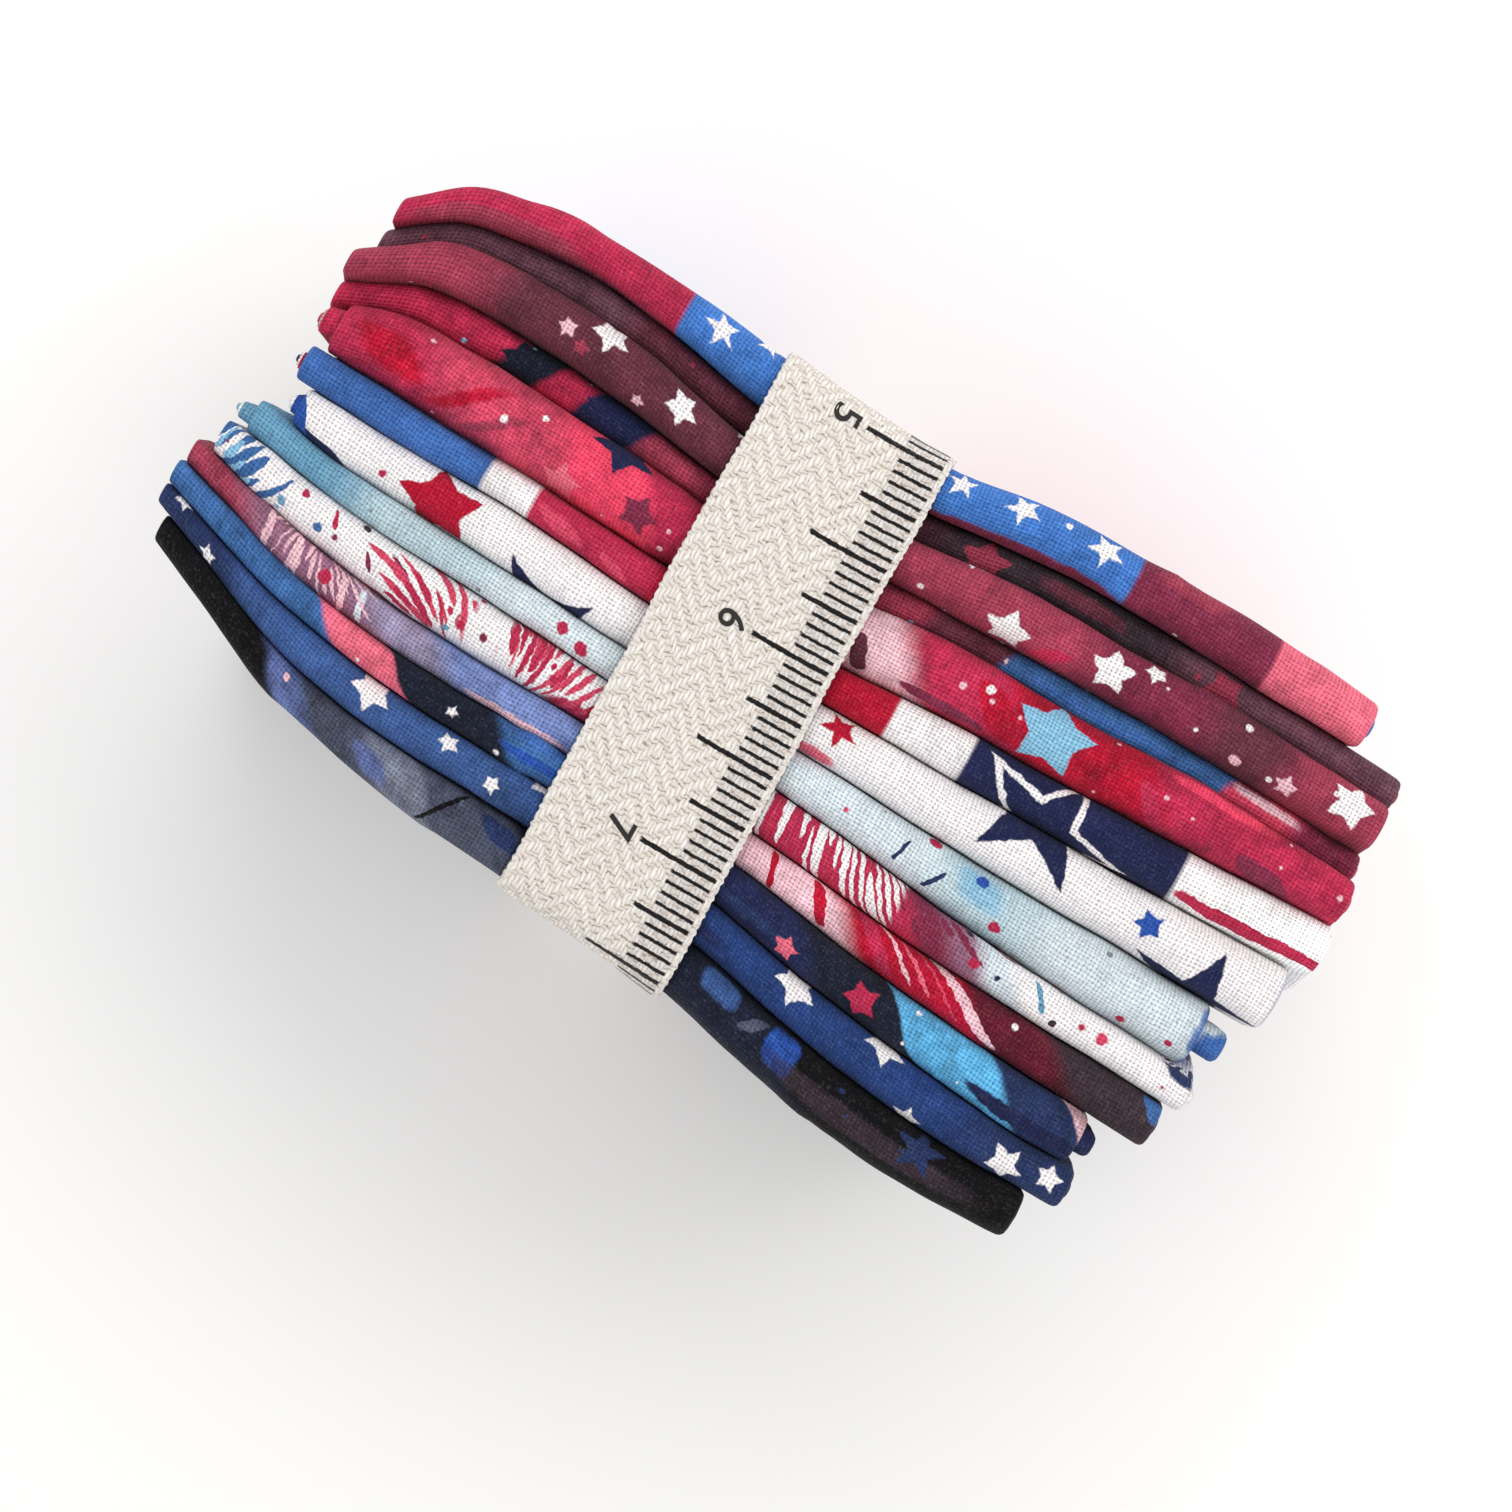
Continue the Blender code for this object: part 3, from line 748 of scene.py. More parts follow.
class Graph:
    """A short way to write node trees."""

    def __init__(self, tree):
        self.tree = tree

    def node(self, kind, **settings):
        node = self.tree.nodes.new(kind)
        for name, value in settings.items():
            setattr(node, name, value)
        return node

    def put(self, socket, value):
        if isinstance(value, Term):
            self.tree.links.new(value.socket, socket)
        else:
            socket.default_value = value

    def feed(self, node, values, output=0):
        """A term for a node's output, with its inputs filled in from values in order or by name."""
        pairs = values.items() if isinstance(values, dict) else enumerate(values)
        for key, value in pairs:
            self.put(node.inputs[key], value)
        return Term(self, node.outputs[output])

    def math(self, operation, *values, clamp=False):
        return self.feed(self.node("ShaderNodeMath", operation=operation, use_clamp=clamp), values)

    def step(self, value, low, high):
        """0 below low and 1 above high, or the other way round where low is the greater."""
        ends = (0.0, 1.0)
        if isinstance(low, float) and isinstance(high, float) and low > high:
            low, high, ends = high, low, (1.0, 0.0)
        node = self.node("ShaderNodeMapRange", interpolation_type="SMOOTHSTEP")
        return self.feed(node, (value, low, high, *ends), "Result")

    def shifted(self, vector, offset):
        node = self.node("ShaderNodeVectorMath", operation="ADD")
        return self.feed(node, (vector, offset), "Vector")

    def parts(self, vector):
        node = self.node("ShaderNodeSeparateXYZ")
        self.put(node.inputs[0], vector)
        return [Term(self, socket) for socket in node.outputs]

    def join(self, x, y, z=0.0):
        return self.feed(self.node("ShaderNodeCombineXYZ"), (x, y, z))

    def mix(self, factor, a, b, blend="MIX"):
        node = self.node("ShaderNodeMix", data_type="RGBA", blend_type=blend)
        return self.feed(node, {"Factor": factor, "A": a, "B": b}, "Result")

    def noise(self, vector, scale, detail=2.0, roughness=0.5, distortion=0.0):
        return self.feed(self.node("ShaderNodeTexNoise"), {
            "Vector": vector, "Scale": scale, "Detail": detail, "Roughness": roughness,
            "Distortion": distortion,
        }, "Fac")

    def random(self, vector):
        """A random number for each place, and a colour whose parts are three more."""
        node = self.node("ShaderNodeTexWhiteNoise", noise_dimensions="3D")
        return self.feed(node, (vector,), "Value"), Term(self, node.outputs["Color"])

    def use(self, group, **inputs):
        return self.feed(self.node("ShaderNodeGroup", node_tree=group), inputs)

    def shaded(self, colour, level):
        """A colour made darker or lighter by a level about 1."""
        return self.mix(1.0, colour, self.join(level, level, level), "MULTIPLY")

    def output_of(self, kind, output, **settings):
        return Term(self, self.node(kind, **settings).outputs[output])

    def cloth_place(self):
        """A place on the cloth, in the cloth's own millimetres."""
        return self.output_of("ShaderNodeUVMap", 0, uv_map="Cloth")

    def object_place(self):
        """A place in the part's frame, in metres."""
        return self.output_of("ShaderNodeTexCoord", "Object")

    def reverse_side(self):
        """1 on the cloth's unprinted side and 0 on its printed one."""
        return self.output_of("ShaderNodeAttribute", "Fac", attribute_name="reverse")


def linear(code):
    """A colour from its six-digit code, for a node's socket."""
    parts = [int(code[place:place + 2], 16) / 255 for place in (0, 2, 4)]
    curve = [part / 12.92 if part < 0.04045 else ((part + 0.055) / 1.055) ** 2.4 for part in parts]
    return (*curve, 1.0)


def new_group(name, inputs):
    """A node group with named inputs, as its tree, its graph, its inputs by name and the output to
    fill. An input whose default is None is a place."""
    tree = bpy.data.node_groups.new(name, "ShaderNodeTree")
    for label, default in inputs.items():
        kind = "NodeSocketVector" if default is None else "NodeSocketFloat"
        socket = tree.interface.new_socket(label, in_out="INPUT", socket_type=kind)
        if default is not None:
            socket.default_value = default
    tree.interface.new_socket("Value", in_out="OUTPUT", socket_type="NodeSocketFloat")
    source = tree.nodes.new("NodeGroupInput")
    target = tree.nodes.new("NodeGroupOutput")
    g = Graph(tree)
    return tree, g, {label: Term(g, source.outputs[label]) for label in inputs}, target.inputs["Value"]


def from_centre(g, given):
    """A place's steps from the given centre, along X and across the cloth, and its distance."""
    x, w, _ = g.parts(given["Place"])
    dx = x - given["X"]
    dw = w - given["W"]
    return dx, dw, g.math("SQRT", dx * dx + dw * dw)


# How softly the edges of stars and dots run out.
SHAPE_EDGE = 0.12
FAT_NOTCH = 0.56
SHARP_NOTCH = 0.42
STAR_POINTS = 5


def star_group(name, notch):
    """1 inside a five-pointed star, in millimetres about its centre."""
    tree, g, given, result = new_group(name, {
        "Place": None, "X": 0.0, "W": 0.0, "Radius": 2.0, "Turn": 0.0,
    })
    dx, dw, radius = from_centre(g, given)
    half_sector = math.pi / STAR_POINTS
    angle = g.math("PINGPONG", g.math("ARCTAN2", dw, dx) + given["Turn"], half_sector)
    along = radius * g.math("COSINE", angle) / given["Radius"]
    across = radius * g.math("SINE", angle) / given["Radius"]
    notch_x = notch * math.cos(half_sector)
    notch_y = notch * math.sin(half_sector)
    edge_length = math.hypot(1 - notch_x, notch_y)
    inside = (1.0 - along) * (notch_y / edge_length) - across * ((1 - notch_x) / edge_length)
    g.put(result, g.step(inside * given["Radius"], -SHAPE_EDGE, SHAPE_EDGE))
    return tree


def dot_group():
    """1 inside a round dot."""
    tree, g, given, result = new_group("dot", {"Place": None, "X": 0.0, "W": 0.0, "Radius": 0.8})
    _, _, distance = from_centre(g, given)
    g.put(result, g.step(given["Radius"] - distance, -SHAPE_EDGE, SHAPE_EDGE))
    return tree


# Where in its cell a scattered shape's centre may lie, as shares of the cell.
CELL_MARGIN = 0.3
CELL_ROOM = 0.4


def scatter_group(name, shape, smallest, largest):
    """Stars or dots at random places, one at most in each cell."""
    tree, g, given, result = new_group(name, {"Place": None, "Cell": 8.0, "Share": 0.5, "Seed": 0.0})
    x, w, _ = g.parts(given["Place"])
    cell_x = g.math("FLOOR", x / given["Cell"])
    cell_w = g.math("FLOOR", w / given["Cell"])
    chance, draw = g.random(g.join(cell_x, cell_w, given["Seed"]))
    draw_x, draw_w, draw_size = g.parts(draw)
    centre_x = (cell_x + (draw_x * CELL_ROOM + CELL_MARGIN)) * given["Cell"]
    centre_w = (cell_w + (draw_w * CELL_ROOM + CELL_MARGIN)) * given["Cell"]
    radius = draw_size * (largest - smallest) + smallest
    settings = {"Place": given["Place"], "X": centre_x, "W": centre_w, "Radius": radius}
    if "Turn" in shape.interface.items_tree:
        settings["Turn"] = draw_w * (2 * math.pi)
    shown = g.math("LESS_THAN", chance, given["Share"])
    g.put(result, g.use(shape, **settings) * shown)
    return tree


# Brush strokes: their bend in turns for each millimetre outward, how much of their reach the starts
# and the ends spread over, their least width, and how one side of a burst is cut off.
STROKE_BEND = 0.006
START_SPREAD = 0.5
END_SPREAD = 0.55
LEAST_WIDTH = 0.6
SIDE_EDGE = 0.6
BOTH_SIDES = 9.0


def burst_group():
    """Brush strokes that fly out from a centre."""
    tree, g, given, result = new_group("burst", {
        "Place": None, "X": 0.0, "W": 0.0, "Inner": 3.0, "Outer": 12.0, "Count": 24.0, "Seed": 0.0,
        "Width": 0.45, "Side": 0.0,
    })
    dx, dw, radius = from_centre(g, given)
    turn = g.math("ARCTAN2", dw, dx) / (2 * math.pi)
    bend = radius * STROKE_BEND
    sector = (turn + bend) * given["Count"]
    number = g.math("FLOOR", sector)
    _, draw = g.random(g.join(number, given["Seed"], 3.0))
    start_draw, length_draw, width_draw = g.parts(draw)
    reach = given["Outer"] - given["Inner"]
    start = given["Inner"] + start_draw * START_SPREAD * reach
    end = given["Outer"] - length_draw * END_SPREAD * reach
    off_middle = abs(g.math("FRACT", sector) - 0.5)
    span = radius * (2 * math.pi) / given["Count"]
    distance = off_middle * span
    along = (radius - start) / (end - start)
    taper = g.math("SQRT", g.math("MAXIMUM", along * (1.0 - along), 0.0))
    half_width = given["Width"] * (LEAST_WIDTH + width_draw) * (taper * 2.0)
    both = (1.0 - abs(given["Side"])) * BOTH_SIDES
    shown = g.step(dx * given["Side"] + both, -SIDE_EDGE, SIDE_EDGE)
    g.put(result, g.step(half_width - distance, -0.05, 0.12) * shown)
    return tree


# The weave: the pitch of its threads, how far they wander together and each alone, the power that
# narrows the lines between them, the depths of holes and lines, how far one thread stands over the
# other, and the height of the threads.
THREAD_PITCH = 0.47
WEAVE_DRIFT = 1.4
THREAD_DRIFT = 0.22
LINE_POWER = 0.45
HOLE_DEPTH = 1.5
LINE_DEPTH = 0.34
OVER_UNDER = 0.05
THREAD_TOP = 0.97


def weave_group():
    """The height of a plain weave, from 0 in the small holes at the crossings to 1 on the threads."""
    tree, g, given, result = new_group("plain_weave", {"Place": None})
    x, w, _ = g.parts(given["Place"])
    drift = g.noise(given["Place"], 0.11, 1.0) * WEAVE_DRIFT
    thread_x = g.noise(g.join(x * 1.5, w * 0.12), 1.0, 1.0)
    thread_w = g.noise(g.join(x * 0.12, w * 1.5, 5.0), 1.0, 1.0)
    bent_x = x + drift + thread_x * THREAD_DRIFT
    bent_w = w - drift + thread_w * THREAD_DRIFT
    wave_x = g.math("SINE", bent_x / THREAD_PITCH * math.pi)
    wave_w = g.math("SINE", bent_w / THREAD_PITCH * math.pi)
    line_x = 1.0 - abs(wave_x) ** LINE_POWER
    line_w = 1.0 - abs(wave_w) ** LINE_POWER
    low = line_x * line_w * HOLE_DEPTH + (line_x + line_w) * LINE_DEPTH
    over = g.math("SIGN", wave_x * wave_w) * OVER_UNDER
    g.put(result, g.math("ADD", THREAD_TOP - low, over, clamp=True))
    return tree


STREAK_SHARE = 0.6
GRAIN_SCALE = 4.3
THREADS_MEAN = 1.40


def thread_group():
    """The brightness of single threads and of single stitches of the weave, about 0."""
    tree, g, given, result = new_group("threads", {"Place": None})
    x, w, _ = g.parts(given["Place"])
    long_way = g.noise(g.join(x * 2.8, w * 0.5), 1.0, 2.0, 0.7)
    short_way = g.noise(g.join(x * 0.5, w * 2.8, 9.0), 1.0, 2.0, 0.7)
    fleck = g.noise(given["Place"], 4.2, 2.0, 0.85)
    grain, _ = g.random(g.join(g.math("FLOOR", x * GRAIN_SCALE), g.math("FLOOR", w * GRAIN_SCALE)))
    total = (long_way + short_way) * STREAK_SHARE + (fleck + grain * STREAK_SHARE)
    g.put(result, total - THREADS_MEAN)
    return tree


PATCH_WAVER = 0.7
PATCH_SQUARENESS = 3.5


def patch_group():
    """1 inside a leaning patch with an uneven, soft edge."""
    tree, g, given, result = new_group("patch", {
        "Place": None, "X": 0.0, "W": 0.0, "Half X": 3.0, "Half W": 1.5, "Lean": 0.0, "Soft": 0.15,
    })
    x, w, _ = g.parts(given["Place"])
    waver = (g.noise(given["Place"], 0.5, 3.0) - 0.5) * PATCH_WAVER
    down = w - given["W"]
    side = x - given["X"] - down * given["Lean"]
    along = abs(side / given["Half X"]) ** PATCH_SQUARENESS
    across = abs(down / given["Half W"]) ** PATCH_SQUARENESS
    inside = 1.0 - (along + across) + waver
    g.put(result, g.step(inside, given["Soft"] * -1.0, given["Soft"]))
    return tree


STAR_KINDS = {"fat": star_group("fat_star", FAT_NOTCH), "sharp": star_group("sharp_star", SHARP_NOTCH)}
DOT = dot_group()
STAR_SCATTER = scatter_group("star_scatter", STAR_KINDS["fat"], smallest=0.8, largest=2.3)
DOT_SCATTER = scatter_group("dot_scatter", DOT, smallest=0.15, largest=0.42)
BURST = burst_group()
WEAVE = weave_group()
THREADS = thread_group()
PATCH = patch_group()

# Dyes, by name.
DYE_CODES = {
    "crimson": "b3274a", "scarlet": "b00c2e", "flame": "e2405f", "rose": "cb425f", "coral": "e2687e",
    "pink": "e6b8c2", "maroon": "7c2844", "garnet": "5c1226", "burgundy": "9c384f", "wine": "622c3c",
    "plum": "67404f", "charcoal": "382b33", "mauve": "8c5e76", "lilac": "948aa8", "periwinkle": "7385bb",
    "cornflower": "4074c0", "azure": "3c66aa", "royal": "274fa2", "steel": "3a649c", "marine": "223c74",
    "denim": "3a5890", "navy": "1c2249", "ink": "151a2c", "slate": "23315a", "dusk": "566393",
    "smoke": "454a5c", "pewter": "757a8c", "sky": "58a6d4", "haze": "84b8d6", "teal": "6496b4",
    "aqua": "b0c6ce", "mist": "ced9df", "white": "ede8e9", "grey": "80858c", "black": "070509",
}
DYES = {name: linear(code) for name, code in DYE_CODES.items()}

# The background blocks of each print from left to right: where a block ends along X, its dye, and
# how softly it runs into the next.
BLOCKS = {
    1: ((-25.5, "crimson", 0.2), (31.5, "cornflower", 0.2), (49.0, "maroon", 0.3), (70.0, "coral", 1.0)),
    2: ((-30.0, "plum", 4.0), (9.0, "wine", 8.0), (40.0, "charcoal", 8.0), (70.0, "plum", 1.0)),
    3: ((-45.0, "burgundy", 8.0), (-8.0, "wine", 8.0), (32.0, "burgundy", 9.0), (46.0, "maroon", 6.0),
        (56.0, "wine", 6.0), (70.0, "burgundy", 1.0)),
    4: ((-40.0, "crimson", 1.0), (-35.0, "ink", 1.0), (-30.5, "crimson", 0.6), (-23.0, "navy", 0.8),
        (14.0, "burgundy", 2.0), (23.5, "wine", 1.0), (51.5, "steel", 1.0), (60.0, "rose", 3.0),
        (70.0, "maroon", 1.0)),
    5: ((-46.0, "crimson", 6.0), (-29.0, "rose", 5.0), (-18.5, "flame", 3.0), (-8.0, "crimson", 3.0),
        (14.5, "pink", 4.5), (27.0, "crimson", 3.0), (45.0, "scarlet", 5.0), (57.0, "crimson", 3.0),
        (70.0, "crimson", 1.0)),
    6: ((-36.0, "azure", 0.15), (-30.0, "white", 0.15), (-14.0, "crimson", 2.0), (15.5, "scarlet", 0.15),
        (24.7, "white", 0.15), (51.2, "navy", 0.15), (72.0, "white", 1.0)),
    7: ((-60.0, "royal", 0.3), (67.2, "white", 0.3), (70.0, "royal", 0.3)),
    8: ((-47.0, "teal", 10.0), (-30.0, "aqua", 10.0), (5.0, "mist", 4.0), (28.0, "mist", 8.0),
        (40.0, "aqua", 8.0), (61.2, "mist", 0.3), (70.0, "azure", 0.3)),
    9: ((-4.0, "white", 2.0), (28.0, "crimson", 3.0), (33.0, "maroon", 4.0), (37.0, "mauve", 5.0),
        (41.0, "mist", 4.0), (70.0, "white", 2.0)),
    10: ((-57.0, "burgundy", 6.0), (-40.0, "mauve", 6.0), (-30.0, "lilac", 5.0), (-8.0, "periwinkle", 4.0),
         (22.0, "pink", 4.0), (38.5, "scarlet", 3.0), (50.0, "garnet", 5.0), (70.0, "charcoal", 1.0)),
    11: ((-43.2, "steel", 0.3), (-33.8, "coral", 0.3), (-20.0, "ink", 2.0), (-4.0, "steel", 4.0),
         (20.0, "navy", 4.0), (32.5, "ink", 0.5), (46.0, "sky", 1.2), (55.6, "slate", 0.3),
         (70.0, "pink", 1.0)),
    12: ((-54.0, "slate", 8.0), (-12.0, "denim", 8.0), (22.0, "marine", 8.0), (44.0, "marine", 8.0),
         (70.0, "slate", 2.0)),
    13: ((-46.5, "black", 2.0), (-41.0, "dusk", 2.5), (-32.0, "smoke", 3.0), (-25.0, "pewter", 2.0),
         (-12.0, "smoke", 3.0), (24.0, "ink", 5.0), (70.0, "black", 3.0)),
}

# How each print is painted: the lean of its blocks (X for each millimetre across), the waver of
# their edges, the strength of the watercolour shading, its scatter of stars and of dots (the share
# of cells that have one), the dye of both, how far the print moves along X from one printed row to
# the next across the cloth, and whether it does so at sharp edges.
PAINT_COLUMNS = ("lean", "waver", "shading", "stars", "dots", "scatter_dye", "row_shift", "sharp_rows")
PAINTS = (
    (0.0, 0.3, 0.40, 0.55, 0.06, "white", 47.0, True),
    (0.3, 2.5, 0.55, 0.30, 0.06, "burgundy", 47.0, False),
    (0.0, 3.0, 0.45, 0.60, 0.08, "white", 39.0, False),
    (0.5, 2.0, 0.60, 0.10, 0.10, "haze", 47.0, False),
    (-0.5, 3.5, 0.60, 0.15, 0.12, "pink", 53.0, False),
    (0.0, 0.3, 0.35, 0.15, 0.00, "white", 47.0, True),
    (0.0, 0.4, 0.05, 0.40, 0.00, "navy", 64.0, True),
    (0.0, 5.0, 0.20, 0.00, 0.12, "grey", 67.0, False),
    (-0.8, 2.0, 0.12, 0.00, 0.16, "crimson", 41.0, False),
    (-0.9, 2.0, 0.55, 0.00, 0.05, "white", 47.0, False),
    (-0.9, 1.0, 0.60, 0.15, 0.10, "white", 64.0, False),
    (-0.3, 3.0, 0.50, 0.60, 0.12, "white", 47.0, False),
    (-0.8, 3.0, 0.70, 0.35, 0.04, "slate", 43.0, False),
)

# Stars where they show on the folds: the quarter, the centre on the level sheet (Y down), the
# radius, the turn in degrees (18 stands a tip up and 54 a tip down), the dye, and how deep the
# notches between the tips are.
STAR_COLUMNS = ("quarter", "x", "y", "radius", "turn", "dye", "kind")
STARS = (
    (1, -20.9, -35.0, 2.2, 40, "white", "sharp"), (1, -15.5, -36.0, 1.8, 10, "white", "sharp"),
    (1, 10.0, -33.0, 1.8, 25, "white", "sharp"), (1, 17.2, -33.9, 2.1, 54, "white", "sharp"),
    (1, 27.2, -34.3, 2.2, 54, "white", "sharp"),
    (2, 16.2, -27.0, 3.0, 20, "burgundy", "fat"), (2, 46.0, -27.2, 2.6, 54, "burgundy", "fat"),
    (3, -31.1, -28.7, 2.4, 54, "white", "fat"), (3, -35.7, -27.1, 1.2, 40, "pink", "fat"),
    (3, -33.4, -25.8, 1.0, 20, "burgundy", "fat"), (3, -20.6, -25.4, 2.1, 62, "white", "fat"),
    (3, -25.3, -23.8, 0.9, 10, "pink", "fat"), (3, -13.2, -26.3, 1.9, 35, "white", "fat"),
    (3, 15.2, -26.1, 2.0, 54, "white", "sharp"), (3, 21.9, -21.3, 2.9, 18, "white", "fat"),
    (3, 34.0, -23.0, 2.7, 25, "white", "fat"), (3, 38.4, -25.2, 1.4, 50, "white", "fat"),
    (3, 63.7, -23.0, 2.8, 8, "white", "fat"), (3, 56.4, -21.2, 1.4, 18, "pink", "fat"),
    (4, -38.4, -21.9, 2.8, 40, "ink", "fat"), (4, -27.0, -21.0, 3.6, 25, "navy", "fat"),
    (5, -23.8, -18.6, 4.2, 54, "navy", "fat"), (5, -19.2, -12.9, 2.4, 10, "maroon", "fat"),
    (5, -28.4, -11.9, 2.5, 24, "coral", "fat"), (5, 31.8, -13.9, 4.9, 20, "haze", "fat"),
    (6, 35.5, -4.45, 10.6, 1, "white", "sharp"), (6, 35.5, -4.45, 8.4, 1, "navy", "sharp"),
    (7, 11.3, -3.3, 2.4, 54, "scarlet", "sharp"), (7, 35.3, -4.95, 9.2, 18, "navy", "sharp"),
    (7, 50.8, -1.0, 1.8, 50, "royal", "fat"), (7, -23.8, 3.2, 8.8, 54, "navy", "sharp"),
    (7, 58.7, 3.9, 8.6, 11, "navy", "sharp"), (7, -38.6, -3.2, 5.0, 34, "scarlet", "fat"),
    (11, -26.5, 15.5, 0.7, 10, "white", "fat"), (11, 17.5, 20.4, 1.6, 18, "coral", "fat"),
    (11, 27.5, 21.4, 2.2, 50, "crimson", "fat"),
    (12, -35.2, 17.6, 2.6, 54, "white", "fat"), (12, -25.2, 18.6, 1.3, 50, "white", "fat"),
    (12, -18.9, 20.3, 1.0, 0, "white", "fat"), (12, -58.0, 13.6, 1.1, 30, "white", "fat"),
    (12, -63.0, 9.6, 1.2, 0, "white", "fat"), (12, -13.8, 17.8, 1.9, 15, "white", "fat"),
    (12, 20.6, 23.3, 2.7, 54, "white", "fat"), (12, 32.4, 24.5, 2.7, 60, "white", "fat"),
    (12, 37.9, 30.2, 1.9, 18, "white", "fat"), (12, 49.6, 29.4, 2.2, 62, "white", "fat"),
    (12, 54.6, 28.4, 1.6, 18, "white", "fat"),
    (13, 41.0, 32.6, 3.2, 20, "slate", "sharp"),
)

# Round drops, with the same columns but for the turn.
DROP_COLUMNS = ("quarter", "x", "y", "radius", "dye")
DROPS = (
    (1, 22.3, -34.6, 0.4, "white"),
    (3, 50.0, -24.8, 0.45, "white"), (3, 50.3, -21.0, 0.7, "pink"), (3, 45.0, -22.0, 0.3, "white"),
    (5, -33.0, -17.2, 0.4, "white"), (5, -36.8, -14.9, 0.4, "white"), (5, 23.5, -15.0, 0.5, "white"),
    (7, -45.6, -3.4, 0.45, "crimson"),
    (8, -20.4, 1.8, 0.7, "crimson"), (8, -17.6, 2.9, 0.85, "crimson"), (8, 26.4, 2.4, 0.8, "crimson"),
    (8, 16.0, 4.1, 0.3, "rose"), (8, 32.9, 3.7, 0.75, "royal"), (8, 36.3, 7.5, 0.7, "crimson"),
    (8, 53.2, 9.7, 0.5, "crimson"), (8, 59.0, 9.5, 0.45, "crimson"),
    (9, -51.8, 2.5, 0.45, "crimson"), (9, -53.8, 4.4, 0.5, "teal"), (9, -54.0, 5.3, 0.35, "haze"),
    (9, -49.0, 5.2, 0.5, "steel"), (9, -46.8, 5.2, 0.35, "maroon"), (9, -44.2, 2.6, 0.45, "charcoal"),
    (9, -30.2, 7.0, 0.5, "crimson"), (9, -27.4, 6.9, 0.5, "maroon"), (9, -31.6, 7.9, 0.4, "teal"),
    (9, 52.3, 12.4, 0.7, "rose"), (9, 37.6, 9.2, 0.5, "navy"), (9, 36.2, 11.9, 0.6, "crimson"),
    (9, 39.2, 12.2, 0.35, "navy"), (9, 34.4, 9.4, 0.5, "charcoal"), (10, -45.6, 9.4, 0.8, "crimson"),
    (13, -44.0, 21.0, 0.4, "pink"), (13, 30.5, 31.0, 0.35, "slate"),
)

